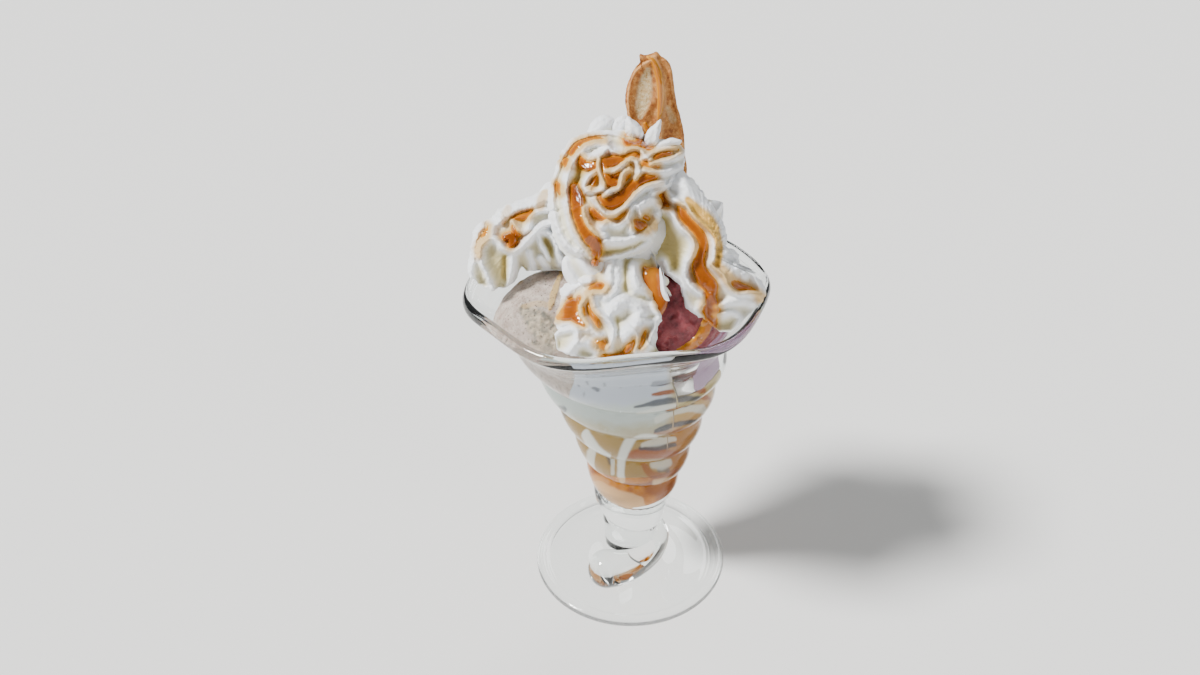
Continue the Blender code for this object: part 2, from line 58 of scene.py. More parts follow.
# ---------------------------------------------------------------- glass, mm
RIM_RADIUS = 60.0
RIM_HEIGHT = 148.5
LIP_THICKNESS = 3.6
LIP_HALF = 2.3                  # half the height of the lip's band
WALL = 3.0
SCALLOPS = 6                    # lobes round the mouth
SCALLOP_RADIAL = 1.0            # how far a lobe stands out, and how far it dips
SCALLOP_RISE = 1.0
SCALLOP_TURN = radians(9.0)
SCALLOP_FROM, SCALLOP_OVER = 112, 30    # the height they start at, and grow over
FOOT_RADIUS = 44.3
FOOT_BEAD = 4.2                 # height of the bead at its edge, and how far it comes in
BEAD_REACH = 2.6
FOOT_PLATE = 2.8
INNER_BOTTOM = 43.0
BOTTOM_ROUND = 9.0              # height of the inside's round bottom
RIDGE_PITCH = 16.5              # rise of the spiral ridge in one turn
RIDGE_PHASE = 0.64              # turns by which the spiral is set off
FOOT_SHIFT = 4.5                # the foot and the stem stand off the mouth's axis
STEM_SHIFT = 6.0
# the tail of the spiral at the foot: points of its centre line with its radius
CURL = ((13.0, 10.0, 17.0, 4.6), (18.0, 0.0, 14.8, 4.7), (15.0, -9.0, 12.6, 5.2),
        (8.0, -15.0, 11.2, 6.3), (0.5, -18.3, 10.8, 7.8), (-6.0, -19.3, 11.0, 8.7))
# heights and radii of the bowl's outside, without its steps
OUTER_STATIONS = ((2.0, 11.2), (12.0, 11.7), (22.0, 12.4), (33.0, 13.4),
                  (43.0, 16.8), (55.0, 19.6), (70.0, 23.4), (85.0, 28.2),
                  (100.0, 33.2), (115.0, 39.2), (130.0, 44.4), (143.5, 58.4))
BITE = 0.25                     # how far a filling reaches into the wall
GLASS_SPREAD = 1.07             # how much the thick glass widens what is in it

# ------------------------------------------------------------- contents, mm
CARAMEL_LEVEL = 66.0
VANILLA_LEVEL = 103.0
# balls: the middle and the radius, or a radius along each axis
LEFT_SCOOP = ((-22.5, -18.0, 133.0), 26.5)
RIGHT_SCOOP = ((22.0, -12.0, 142.0), 20.0)
RIGHT_MELT = ((31.0, -5.0, 128.0), (12.0, 13.0, 13.5))
FRONT_MELT = ((30.5, -17.5, 122.0), (9.5, 10.5, 15.5))    # the part that shows in front
BACK_SCOOP = ((0.0, 18.0), 17.0, 46.0)      # centre, spread, rise
FRONT_BLOCK = (-16.5, 19.5, -27.0, 134.0)   # its left, right, back and height
FRONT_RISE = 11.0               # how much higher the vanilla stands all along the front

# -------------------------------------------------------- whipped cream, mm
# The shown side of the cream is drawn as lines on a plane square to the
# camera, VIEW_DEPTH from its eye: right and up from the camera's axis.
VIEW_DEPTH = 335.0
# Each heap has its centre and outline there, its depth from the eye, how far
# it bulges to the front and the back, and how it leans.  Crests are lines
# (height, width on the right, width on the left, points), with the groove's
# depth between them; dips (depth, width, points) are pressed in.  Sauce is
# (level between groove and crest, film, points with a radius); stains are
# (strength, points with a radius).  Points stand in a row, in tenths of a
# millimetre: x,y of the first or x,y,radius of the first, then of the next.
HEAPS = dict(
    rosette=dict(
        centre=(6.6, 52.9), depth=336, front=17, back=16, lean=(0, 0.19), groove=7, width=1.3,
        outline=(0,756, -51,753, -95,734, -125,701, -147,661, -165,617, -179,577, -187,533,
          -190,482, -187,430, -172,379, -150,332, -121,299, -73,277, -18,269, 44,277, 103,291,
          158,313, 190,346, 209,386, 220,430, 231,467, 249,518, 278,559, 304,606, 311,650,
          308,687, 286,712, 238,723, 183,731, 147,745, 92,756, 44,760),
        crests=(
            (0.95, 1, 1, (15,749, -37,745, -84,727, -121,694, -147,654, -165,610, -176,566,
              -179,522, -176,471, -165,423, -147,379, -117,335, -73,302)),
            (1.05, 1.1, 1.2, (22,712, -22,712, -59,694, -88,661, -106,625, -121,584, -128,544,
              -125,500, -114,452, -99,405, -73,357, -40,313)),
            (0.95, 1.5, 1.1, (26,698, 4,672, -26,654, -44,658, -62,672)),
            (0.9, 1, 1, (-18,606, -40,592, -55,570, -59,548, -37,544)),
            (0.95, 0.8, 0.8, (-4,650, -4,621, 4,592, 15,562, 7,540, -22,533, -51,537)),
            (1.05, 0.9, 0.9, (15,518, 37,537, 66,548, 77,573, 84,599, 106,617)),
            (1, 0.9, 0.9, (22,610, 51,610, 81,628, 103,650, 121,654, 139,636, 143,606, 132,581)),
            (1.1, 0.9, 0.9, (-18,507, -4,482, 18,456, 48,449, 77,467, 106,496, 136,529, 168,551,
              205,562, 234,566)),
            (1, 1.1, 1.1, (-59,474, -55,441, -37,405, -11,383, 15,375)),
            (0.85, 1.3, 1.3, (4,401, 26,423, 48,412, 70,412, 92,430, 114,423, 117,390)),
            (0.95, 0.8, 0.8, (99,434, 110,467, 128,482, 147,471, 150,449)),
            (1.05, 1.3, 1.3, (147,482, 172,500, 201,504, 220,478, 212,438, 205,397, 183,379)),
            (1, 1.3, 1.2, (22,353, 66,350, 110,357, 147,372, 176,390, 198,423)),
            (0.75, 1, 1, (-29,291, 22,291, 73,302, 117,317, 158,335, 187,357)),
            (0.8, 0.9, 0.9, (26,753, 62,745, 95,731, 125,727)),
            (1.05, 1, 1, (22,716, 40,690, 70,676, 103,687, 136,690, 158,676, 183,654)),
            (1, 0.9, 0.9, (161,658, 198,679, 234,690, 278,698)),
            (1, 0.9, 0.9, (190,636, 227,643, 264,654, 297,672)),
            (0.95, 1.2, 1.2, (165,614, 205,606, 245,606, 286,621)),
            (0.9, 1.2, 1, (190,529, 220,540, 249,555, 271,584)),
        ),
        dips=(
            (0.35, 2, (-77,650, -81,595, -84,540)),
            (0.25, 1.5, (18,310, 81,321, 147,350)),
        ),
        sauce=(
            (0.74, 0.45, (-92,551,18, -84,507,27, -81,460,28, -66,416,30, -40,372,33, -22,335,31,
              -15,306,23, -15,277,15)),
            (0.7, 0.15, (-103,676,14, -77,709,18, -44,723,16, -7,727,12, 15,723,10)),
            (0.55, 0.2, (-136,650,14, -125,643,18, -121,628,13)),
            (0.55, 0.2, (-161,566,11, -150,548,17, -143,529,13)),
            (0.65, 0.15, (-66,658,15, -59,632,21, -33,632,21, -11,636,17)),
            (0.55, 0.1, (-11,606,10, -18,581,12, -33,551,11)),
            (0.7, 0.15, (18,643,22, 40,643,24, 73,654,21, 110,672,20, 132,668,16)),
            (0.7, 0.15, (18,628,18, 22,599,18, 33,573,24, 51,570,20)),
            (0.7, 0.1, (51,592,14, 70,603,10)),
            (0.7, 0.15, (0,515,16, 22,496,24, 51,496,25, 81,515,25, 110,544,23, 139,570,21,
              172,584,20, 201,588,14)),
            (0.5, 0.1, (110,632,11, 103,599,14, 81,566,11)),
            (0.65, 0.1, (-29,463,14, -11,445,16, 15,434,13, 44,438,10, 73,441,12, 92,460,10)),
            (0.75, 0.2, (92,731,16, 110,712,25, 139,709,23, 161,701,16)),
            (0.65, 0.2, (168,690,12, 190,690,12)),
            (0.7, 0.15, (201,661,15, 227,672,16, 256,676,14)),
            (0.7, 0.15, (158,636,14, 183,632,16, 212,628,11)),
            (0.7, 0.2, (132,416,20, 154,405,24, 172,397,18)),
            (0.55, 0.1, (165,441,11, 190,427,12, 201,405,10)),
            (0.65, 0.2, (227,515,16, 234,496,19, 245,478,11)),
            (0.6, 0.1, (264,687,8, 278,701,10, 289,683,8)),
        ),
        stains=(
            (0.5, (-44,485,18, -37,438,18, -15,401,18)),
            (0.35, (-103,559,22, -103,518,15)),
            (0.35, (220,570,22, 183,566,18)),
            (0.4, (176,456,22, 147,445,18)),
            (0.3, (212,540,18, 238,544,11)),
            (0.35, (-55,665,18, -73,658,15)),
        ),
    ),
    left_ribbon=dict(
        centre=(-30.4, 35.7), depth=344, front=14, back=14, lean=(0.09, 0.12), groove=7,
        width=1.3,
        outline=(-187,548, -220,537, -256,518, -293,504, -330,489, -355,482, -377,467, -388,445,
          -414,430, -440,419, -462,397, -469,379, -469,350, -473,321, -480,291, -487,262,
          -484,233, -476,214, -462,207, -440,189, -418,181, -392,167, -374,181, -348,181,
          -322,196, -304,222, -293,251, -282,258, -267,244, -245,244, -220,244, -194,244,
          -161,244, -125,247, -88,277, -62,321, -55,375, -73,449, -110,504, -147,540),
        crests=(
            (1, 1.7, 1.7, (-176,515, -220,504, -264,489, -308,471, -344,456, -370,434)),
            (0.95, 1.2, 1.4, (-370,434, -396,408, -399,383)),
            (0.95, 1.2, 1, (-432,405, -454,379, -462,342, -465,299, -473,255, -476,218)),
            (0.95, 0.8, 0.8, (-322,427, -308,408, -293,390, -267,390, -256,416, -253,441,
              -231,460, -190,463)),
            (1.1, 1, 1.2, (-443,295, -440,328, -425,353, -399,364, -374,350, -348,324, -315,313,
              -286,332, -260,357, -238,386, -209,408, -172,419)),
            (0.8, 0.8, 0.9, (-436,277, -421,247, -407,214, -392,174)),
            (0.85, 1.3, 1.5, (-322,299, -319,262, -322,225, -337,192)),
            (0.85, 1, 1, (-260,310, -249,277, -245,247)),
            (0.8, 1, 1, (-220,291, -205,269, -187,247)),
            (1, 1.1, 1.2, (-231,386, -201,386, -176,368, -161,339, -154,306, -139,269)),
            (0.9, 0.9, 0.9, (-231,383, -220,350, -205,321, -190,291)),
            (0.9, 1.3, 1.3, (-172,419, -147,390, -121,346, -99,302, -84,269)),
        ),
        dips=(
            (0.4, 1, (-348,295, -348,247, -348,185)),
            (0.35, 1.6, (-198,357, -183,328, -176,302)),
            (0.35, 0.8, (-249,463, -293,456, -326,438, -355,419)),
        ),
        sauce=(
            (0.82, 0.25, (-348,368,16, -326,368,22, -322,350,21, -330,335,13)),
            (0.7, 0.15, (-304,379,16, -315,401,13, -315,416,10)),
            (0.55, 0.1, (-319,438,8, -293,441,14, -267,445,15, -253,460,9)),
            (0.65, 0.1, (-410,408,8, -418,383,14, -432,357,14, -447,328,10, -447,299,7)),
            (0.5, 0.05, (-366,368,6, -344,375,10)),
        ),
        stains=(
            (0.6, (-201,529,18, -212,504,22, -220,478,18)),
            (0.45, (-337,474,15, -348,449,18, -355,423,11)),
            (0.4, (-410,416,15, -429,372,18)),
            (0.3, (-278,383,15, -256,386,11)),
        ),
    ),
    right_ribbon=dict(
        centre=(38.8, 31.3), depth=336.5, front=13, back=14, lean=(0.05, 0), groove=9,
        width=1.45,
        outline=(234,584, 264,606, 297,617, 322,592, 344,566, 366,540, 396,507, 425,467, 443,434,
          458,397, 465,357, 465,332, 487,324, 505,310, 513,288, 516,262, 531,244, 549,255,
          568,247, 582,229, 593,207, 604,178, 604,148, 593,126, 571,104, 542,79, 513,49, 476,24,
          440,24, 410,46, 381,68, 359,71, 330,90, 311,115, 300,148, 293,185, 267,214, 234,240,
          205,277, 183,328, 176,394, 190,467, 209,533),
        crests=(
            (1.05, 1, 0.85, (234,540, 256,515, 293,496, 322,478, 341,452, 366,427, 396,401,
              418,379, 429,361, 421,328, 418,295, 410,269, 429,247, 454,229, 465,200, 484,174,
              516,159, 553,163, 579,156, 597,137)),
            (1, 1, 1, (216,471, 245,467, 267,452, 282,423, 304,397, 330,375, 344,350, 344,321,
              330,295, 315,266, 311,229, 326,196, 352,170, 374,152, 377,126, 363,104)),
            (0.85, 1.2, 1.2, (231,277, 245,244, 275,218, 300,192, 304,159, 315,126, 341,97,
              370,79)),
            (0.95, 3.2, 2.2, (286,584, 330,548, 366,511, 399,467, 425,419, 443,372, 451,321,
              454,277, 480,240)),
            (0.95, 1.5, 1.5, (469,317, 495,310, 505,288, 509,255)),
            (0.95, 1.5, 1.5, (527,233, 549,244, 571,229, 586,196, 597,167)),
            (0.8, 1.5, 1.5, (425,115, 469,130, 520,134, 557,123)),
            (0.7, 1.2, 1.2, (421,79, 454,86, 491,90, 513,71, 505,49)),
        ),
        dips=(
            (0.25, 3, (238,423, 245,364, 256,313, 275,262)),
            (0.3, 1.2, (447,137, 410,126)),
        ),
        sauce=(
            (0.62, 0.1, (293,478,14, 308,449,23, 333,419,24, 359,386,26, 374,342,24, 363,295,23,
              363,255,27, 381,218,31, 403,189,31, 410,156,21)),
            (0.6, 0.9, (407,156,20, 403,123,35, 407,101,39, 407,71,27, 407,46,22)),
            (0.7, 0.15, (418,266,10, 447,244,16, 473,214,19, 502,189,20, 538,181,12, 571,167,10,
              590,145,15)),
            (0.62, 0.1, (234,526,10, 234,496,16, 245,478,12)),
        ),
        stains=(
            (0.95, (322,504,15, 344,478,26, 370,449,33, 396,423,33, 418,394,26, 432,357,18,
              436,313,18, 432,269,18)),
            (0.4, (293,474,15, 330,423,18)),
            (0.4, (396,321,15, 396,277,15)),
            (0.4, (491,185,22, 505,178,22)),
            (0.3, (421,159,18, 429,145,18)),
        ),
    ),
    front_ribbon=dict(
        centre=(2.9, 11.5), depth=330, front=10, back=12, lean=(0, 0.33), groove=6.5, width=1.4,
        outline=(-37,335, -81,299, -110,269, -117,240, -95,214, -125,196, -143,185, -147,163,
          -143,141, -154,108, -161,71, -161,42, -150,27, -165,13, -161,-24, -154,-46, -125,-60,
          -73,-71, 0,-79, 73,-79, 147,-75, 201,-71, 223,-60, 209,-42, 205,-20, 212,5, 209,35,
          223,64, 220,93, 209,123, 198,152, 201,192, 209,233, 205,277, 183,313, 128,335, 37,342),
        crests=(
            (1, 1.3, 1.3, (40,299, 37,255, 37,214, 26,181, 4,163, -26,163, -51,148, -70,119,
              -70,86, -51,57, -26,31, 0,5)),
            (0.85, 1.6, 1.6, (66,291, 66,247, 66,207, 51,170, 22,148)),
            (0.95, 1.2, 1.2, (-29,141, -18,108, 4,82, 33,60, 51,31, 51,-5, 33,-38)),
            (1, 1.5, 1.3, (125,262, 125,222, 139,185, 168,167, 194,152, 205,123, 216,93, 220,71)),
            (1, 2.2, 2, (48,104, 73,130, 106,137, 136,119, 154,93, 147,60, 121,31, 95,13)),
            (0.8, 1, 1, (154,64, 187,64, 216,64)),
            (0.9, 1.2, 1.2, (209,49, 194,13, 179,-24, 158,-49)),
            (0.8, 0.8, 0.8, (132,16, 136,-16, 128,-53)),
            (0.85, 1.6, 1.6, (-139,174, -143,137, -150,93, -154,57)),
            (0.8, 1.4, 1.4, (-37,211, -73,200, -110,178, -132,152)),
            (0.85, 1.2, 1.2, (-150,24, -114,31, -88,24, -84,-2, -95,-31, -114,-53)),
            (0.8, 1.4, 1.4, (-103,-53, -88,-27, -59,-16, -26,-31, -7,-53)),
            (0.8, 1, 1, (-139,46, -110,53, -81,42, -51,27)),
        ),
        dips=(
            (0.35, 1.2, (99,277, 92,229, 92,181, 114,152, 158,145)),
            (0.3, 1.2, (62,71, 66,20, 51,-31)),
            (0.3, 1, (158,75, 190,75, 220,79)),
        ),
        sauce=(
            (0.88, 0.25, (-150,75,18, -125,90,35, -99,104,42, -84,82,37, -62,53,18)),
            (0.85, 0.2, (-73,141,16, -81,119,24)),
            (0.65, 0.15, (-40,159,10, -44,130,12, -33,97,14, -15,68,16, -7,38,12)),
            (0.72, 0.3, (-44,159,12, -26,178,18, -4,185,21, 18,181,17)),
            (0.5, 0.7, (-7,-24,20, 4,-27,27)),
            (0.55, 0.3, (95,-53,15, 110,-35,18, 125,-9,12)),
            (0.55, 0.3, (150,-31,14, 154,-9,13, 165,24,9)),
            (0.5, 0.3, (7,-64,11, 44,-68,10, 81,-64,13)),
            (0.55, 0.4, (165,255,10, 190,236,18, 201,207,21, 194,178,20, 209,145,14, 220,112,12)),
        ),
        stains=(
            (0.35, (-11,255,29, -11,211,29)),
            (0.35, (-59,163,22, -92,145,22)),
            (0.3, (-37,16,22, -66,2,22)),
            (0.3, (139,27,18, 139,9,18)),
            (0.4, (165,247,22, 168,211,18)),
            (0.3, (66,-9,18, 66,-27,18)),
        ),
    ),
)

# small petals of cream at the top of the rosette, and folds in front
PETALS = dict(
    back_lobe=dict(
        centre=(0.7, 77.5), depth=346, front=5, back=7, groove=1.8, width=1.6,
        outline=(-51,738, -44,760, -33,786, -11,806, 15,817, 40,811, 55,793, 59,767, 44,742,
          0,727),
        crests=(
            (1, 1.2, 1.2, (-44,756, -29,786, -7,804, 18,811, 40,804)),
            (0.7, 1, 1, (-15,745, 7,771, 33,789)),
        ),
    ),
    back_fold=dict(
        centre=(7.6, 77.5), depth=345, front=4, back=7, groove=1.6, width=1.4,
        outline=(40,749, 44,782, 62,804, 84,813, 103,804, 110,775, 99,742, 62,731),
        crests=(
            (1, 1, 1, (48,771, 62,797, 84,808, 99,797)),
            (0.6, 1, 1, (70,745, 77,771, 88,793)),
        ),
    ),
    upper_petal=dict(
        centre=(12.4, 76.6), depth=338, front=5, back=6, groove=1.6, width=1.5,
        outline=(95,804, 106,810, 117,800, 136,789, 150,775, 159,756, 161,738, 150,723, 125,723,
          103,734, 92,756, 90,782),
        crests=(
            (1, 1.2, 1.2, (99,800, 117,793, 139,778, 152,756, 154,734)),
            (0.8, 1.2, 1.2, (103,789, 103,764, 114,738)),
        ),
    ),
    tall_petal=dict(
        centre=(19.8, 74.7), depth=337, front=4.5, back=5, groove=1.5, width=1.4,
        outline=(223,799, 225,775, 222,756, 216,734, 216,712, 198,694, 176,694, 165,712, 163,734,
          172,753, 183,767, 201,782, 212,793),
        crests=(
            (1, 1, 1, (220,793, 220,764, 212,734, 209,709)),
            (0.8, 1.1, 1.1, (209,786, 187,764, 172,738, 176,705)),
        ),
    ),
    side_petal=dict(
        centre=(24.8, 70.8), depth=337, front=4, back=5, groove=1.2, width=1.3,
        outline=(205,716, 227,723, 264,731, 289,725, 300,720, 289,705, 264,694, 234,683, 209,687,
          194,698),
        crests=(
            (1, 1, 1, (209,709, 234,718, 264,723, 289,720)),
        ),
    ),
    fold_end=dict(
        centre=(-6.1, 25.1), depth=331.5, front=3.2, back=10, groove=1.8, width=1.3,
        outline=(-139,273, -125,299, -95,317, -44,321, 7,310, 26,277, 22,233, 0,196, -44,174,
          -88,174, -117,200, -136,236),
        crests=(
            (1, 1, 1, (-128,284, -117,247, -95,207, -73,181)),
            (0.8, 1.1, 1.1, (-73,310, -59,269, -26,225, -18,189)),
            (0.8, 0.9, 0.9, (0,302, 11,262, 7,214)),
        ),
    ),
    torn_edge=dict(
        centre=(23.7, 19.1), depth=326, front=2, back=6, groove=1.2, width=0.9,
        outline=(218,255, 229,260, 234,229, 236,196, 247,167, 264,148, 256,134, 238,139, 223,170,
          220,211),
        crests=(
            (1, 0.8, 0.8, (225,255, 229,211, 236,170, 256,141)),
        ),
    ),
)

# caramel that lies by itself: under the rosette and beside the front cream
POOLS = dict(
    caramel_drop=dict(
        centre=(-1.8, 27.5), depth=328, front=3, back=7, width=1,
        outline=(-18,293, -7,284, -4,269, -13,258, -26,260, -33,273, -27,286),
        crests=(
            (1, 1, 1, (-18,293, -13,258)),
        ),
    ),
    caramel_well=dict(
        centre=(20.7, 17.2), depth=331, front=2, back=4, width=1,
        outline=(161,247, 190,258, 220,247, 234,225, 238,181, 249,145, 245,115, 227,82, 209,71,
          190,115, 168,167, 154,207),
        crests=(
            (1, 1, 1, (161,247, 245,115)),
        ),
    ),
)

# the wafer, drawn as the cream is
LEAF = dict(
    centre=(20.1, 84.1), depth=344.5, front=2.4, back=1.6, lean=(0.03, -0.434), groove=2.2,
    width=0.9,
    outline=(165,1035, 190,1042, 209,1048, 223,1033, 245,1016, 258,998, 266,965, 271,925, 275,888,
      282,852, 293,815, 304,767, 310,716, 311,668, 319,621, 308,584, 256,566, 201,573, 165,606,
      139,679, 117,742, 104,800, 95,841, 92,877, 97,914, 112,958, 130,991, 148,1011, 143,1027,
      147,1040),
    crests=(
        (1.05, 0.8, 0.8, (190,1013, 165,1002, 139,984, 117,951, 104,907, 101,870, 106,826,
          121,789, 147,760)),
        (0.9, 1.2, 1, (150,1027, 168,1024, 190,1027, 209,1037)),
        (0.95, 2.6, 1.6, (205,1024, 220,987, 231,943, 234,899, 236,855, 231,804, 223,731,
          220,632)),
        (0.85, 1, 1.2, (234,1016, 253,991, 262,951, 267,907, 277,855, 289,808, 300,753, 304,687,
          308,621)),
        (0.55, 1.6, 1.6, (161,804, 179,841, 205,877)),
        (0.4, 1.2, 1.2, (161,742, 165,789, 176,826)),
    ),
    sauce=(
        (1.05, 0.7, (176,1027,8, 194,1013,13, 211,976,15, 220,936,15, 223,899,15, 223,859,14,
          220,826,12, 214,800,7)),
        (0.9, 0.4, (165,782,10, 176,760,13, 187,731,13)),
    ),
    stains=(
        (1, (176,980,11, 168,943,24, 165,907,29, 158,870,29, 150,833,22, 147,808,11)),
        (0.5, (249,841,11, 267,797,15)),
    ),
)

# streaks that show through the wall of the bowl, painted highlights and painted shade among them:
# (strength, points with a radius)
CONTENTS = dict(
    # pale strokes: partly melted cream running down, partly painted highlights of the glass's
    # ridges
    milk=(
        (1, (-51,-339,9, -29,-368,12, 0,-394,12, 33,-412,9)),
        (1, (201,-342,11, 147,-346,15, 106,-375,15, 81,-419,15, 77,-471,13, 84,-504,9)),
        (0.8, (-29,-397,9, -18,-441,8, -7,-478,6)),
        (0.6, (44,-434,8, 51,-478,6)),
        (0.6, (154,-386,6, 209,-375,12, 271,-364,5)),
        (0.55, (194,-460,12, 220,-456,18, 245,-449,12)),
        (0.8, (201,-511,11, 249,-500,11, 282,-482,7)),
        (0.75, (205,-295,6, 264,-273,8, 366,-247,7)),
        (0.8, (139,-258,6, 205,-244,8, 278,-229,6)),
        (0.6, (220,-185,5, 293,-170,7, 366,-156,4)),
        (0.75, (-4,-522,11, 33,-548,15, 88,-570,16, 147,-581,11)),
        (0.35, (-29,-493,7, 22,-529,15)),
        (0.8, (-216,-126,4, -172,-163,7, -125,-192,4)),
        (0.5, (-125,-295,7, -95,-332,11, -73,-375,7)),
    ),
    amber=(
        (1, (110,-412,11, 165,-408,16, 220,-408,15, 300,-401,11)),
        (0.8, (158,-456,11, 183,-485,11, 234,-485,9, 308,-456,11)),
        (0.95, (194,-203,5, 264,-192,7, 377,-178,6)),
        (0.95, (245,-247,5, 308,-236,7, 381,-218,6)),
        (0.7, (201,-328,6, 278,-317,7, 366,-295,6)),
        (0.8, (-48,-456,6, 0,-489,7, 62,-515,7, 147,-522,6, 231,-500,7, 319,-474,5)),
        (0.55, (-110,-353,11, -84,-401,9)),
        (0.7, (183,-537,29, 234,-548,29)),
    ),
    # painted shade and painted dark reflections: near-black streaks where air gaps and the
    # glass's seams look dark
    slate=(
        (0.85, (-242,-112,6, -190,-141,10, -125,-181,7)),
        (0.75, (-190,-200,4, -161,-218,7, -117,-244,4)),
        (0.5, (-158,-255,4, -125,-269,6, -73,-284,4)),
        (0.55, (201,-159,11, 264,-152,15, 330,-137,18, 388,-119,15)),
        (0.9, (220,-163,5, 293,-148,7, 381,-130,4)),
        (0.9, (125,-236,5, 201,-225,8, 293,-211,7, 388,-196,4)),
        (0.8, (201,-269,4, 264,-258,7, 344,-240,4)),
        (0.9, (201,-321,4, 264,-302,7, 352,-277,4)),
        (0.8, (147,-394,5, 205,-392,7, 271,-379,4)),
        (0.7, (33,-434,10, 40,-449,9)),
        (0.6, (212,-474,7, 242,-471,7)),
    ),
    # painted shade: dark grey dots for the shade in small pits
    pits=(
        (0.8, (-26,-170,9, -11,-181,9)),
        (0.6, (-84,-159,4, -81,-163,4)),
        (0.6, (-51,-148,4, -48,-152,4)),
        (0.5, (11,-156,4, 15,-156,4)),
        (0.5, (73,-170,4, 77,-170,4)),
        (0.5, (147,-159,3, 150,-159,3)),
        (0.4, (-62,-192,3, -59,-192,3)),
    ),
)

# strokes on the scoops, drawn in the same way
MARKS = dict(
    crystals=(
        (1, (-278,104,22, -242,71,44, -201,35,55, -161,-2,44)),
        (0.7, (-234,-20,18, -190,-53,18)),
    ),
    scrape=(
        (1, (-136,244,8, -158,192,10, -176,137,12, -183,104,8)),
        (0.7, (-286,255,11, -300,211,15)),
        (0.5, (-278,115,9, -227,126,11, -183,115,9)),
    ),
    caramel_on_berry=(
        (1, (359,159,9, 381,123,12, 392,79,15, 388,38,20, 366,2,18, 330,-27,13, 286,-46,8)),
    ),
)

# piped ribbons at the back: points of the centre line with the radius at each
BACK_RIBBONS = (((-2, 10, 184, 13), (-12, 24, 174, 15), (-22, 35, 163, 13),
                 (-29, 41, 156, 7)),
                ((8, 10, 182, 13), (22, 20, 171, 14.5), (33, 28, 161, 12.5),
                 (40, 32, 155, 7)))
# the curl at the back: its middle, its axis, its radius and its reach both ways
BACK_CURL = ((4.0, 10.0, 187.0), (0.0, 0.25, 0.97), 18.0, 17.0, 14.0)
CORE = ((0.0, 2.0, 168.0), (26.0, 22.0, 20.0))      # cream inside the heap

# ------------------------------------------------------------------ camera
EYE = np.array((2.0, -321.3, 315.9))        # mm
YAW, PITCH, ROLL = radians(-1.70), radians(31.09), radians(-1.23)
FOCAL, IMAGE_WIDTH = 914.5, 1200            # pixels
SENSOR = 36.0                               # mm
AHEAD = np.array((np.sin(YAW) * np.cos(PITCH), np.cos(YAW) * np.cos(PITCH), -np.sin(PITCH)))
LEVEL = np.array((np.cos(YAW), -np.sin(YAW), 0.0))
ABOVE = np.cross(LEVEL, AHEAD)
RIGHT = np.cos(ROLL) * LEVEL + np.sin(ROLL) * ABOVE
UP = -np.sin(ROLL) * LEVEL + np.cos(ROLL) * ABOVE


# ------------------------------------------------------------- small sums
def unit(v):
    v = np.asarray(v, float)
    return v / np.linalg.norm(v)


def smooth(a, b, x):
    """Smooth step: 0 below a, 1 above b."""
    t = np.clip((x - a) / (b - a), 0, 1)
    return t * t * (3 - 2 * t)


def eased(x, xs, ys):
    """Monotone smooth curve through the points (xs, ys)."""
    xs, ys = np.asarray(xs, float), np.asarray(ys, float)
    x = np.clip(x, xs[0], xs[-1])
    slopes = np.diff(ys) / np.diff(xs)
    before, after = slopes[:-1], slopes[1:]
    both = np.where(np.abs(before + after) < 1e-9, 1, before + after)
    inner = np.where(before * after > 0, 2 * before * after / both, 0)
    tangents = np.concatenate(([slopes[0]], inner, [slopes[-1]]))
    i = np.clip(np.searchsorted(xs, x) - 1, 0, len(xs) - 2)
    h = xs[i + 1] - xs[i]
    t = (x - xs[i]) / h
    return ((1 + 2 * t) * (1 - t) ** 2 * ys[i] + t * (1 - t) ** 2 * h * tangents[i]
            + t * t * (3 - 2 * t) * ys[i + 1] - t * t * (1 - t) * h * tangents[i + 1])


def noise(points, size, seed=0, octaves=3):
    """Lattice noise from -1 to 1 at points (..., 3); size is a lump in mm.

    Each lattice corner has a hashed value and a cell blends its eight corners
    by a smooth step; each octave is half the size and half the strength.
    """
    points = np.asarray(points, float) / size
    total, weight, norm = 0.0, 1.0, 0.0
    for octave in range(octaves):
        cell = np.floor(points).astype(np.int64)
        f = points - cell
        f = f * f * (3 - 2 * f)
        value = 0.0
        for corner in np.ndindex(2, 2, 2):
            k = cell + np.array(corner)
            h = (k[..., 0] * 73856093 ^ k[..., 1] * 19349663 ^ k[..., 2] * 83492791
                 ^ (seed * 2654435 + octave * 97531)) & 0xFFFFFF
            h = (h * 1103515245 + 12345) & 0x7FFFFFFF
            h = ((h >> 13) ^ h) * 1274126177 & 0x7FFFFFFF
            w = np.prod(np.where(np.array(corner) == 1, f, 1 - f), axis=-1)
            value = value + w * (h / 0x3FFFFFFF - 1)
        total, norm = total + weight * value, norm + weight
        points, weight = points * 2.03 + 11.7, weight * 0.5
    return total / norm


def full_turn(count):
    """The angles of one whole turn, in a row."""
    return (np.arange(count) * 2 * pi / count)[None]


# ----------------------------------------------------------------- meshes
def grid_quads(rows, around):
    """Faces of a grid that wraps round, as (rows - 1, round, 4) corners."""
    j, i = np.meshgrid(np.arange(rows - 1), np.arange(around), indexing="ij")
    k = (i + 1) % around
    return np.stack([j * around + i, j * around + k, (j + 1) * around + k,
                     (j + 1) * around + i], axis=-1)


def six_volumes(points, faces):
    """Six times the signed volume between the faces and the origin."""
    a, *rest = (points[faces[:, n]] for n in range(faces.shape[1]))
    return sum(np.einsum("ij,ij->", a, np.cross(b, c)) for b, c in zip(rest, rest[1:]))


def made(name, points, faces, attributes, material):
    """An object from points in mm; attributes are one number for each point."""
    mesh = bpy.data.meshes.new(name)
    mesh.from_pydata((points * MM).tolist(), [], faces)
    for label, values in attributes.items():
        layer = mesh.attributes.new(label, "FLOAT", "POINT")
        layer.data.foreach_set("value", values.astype(np.float32))
    mesh.materials.append(material)
    mesh.shade_smooth()
    obj = bpy.data.objects.new(name, mesh)
    bpy.context.scene.collection.objects.link(obj)
    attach(obj, "root")
    return obj


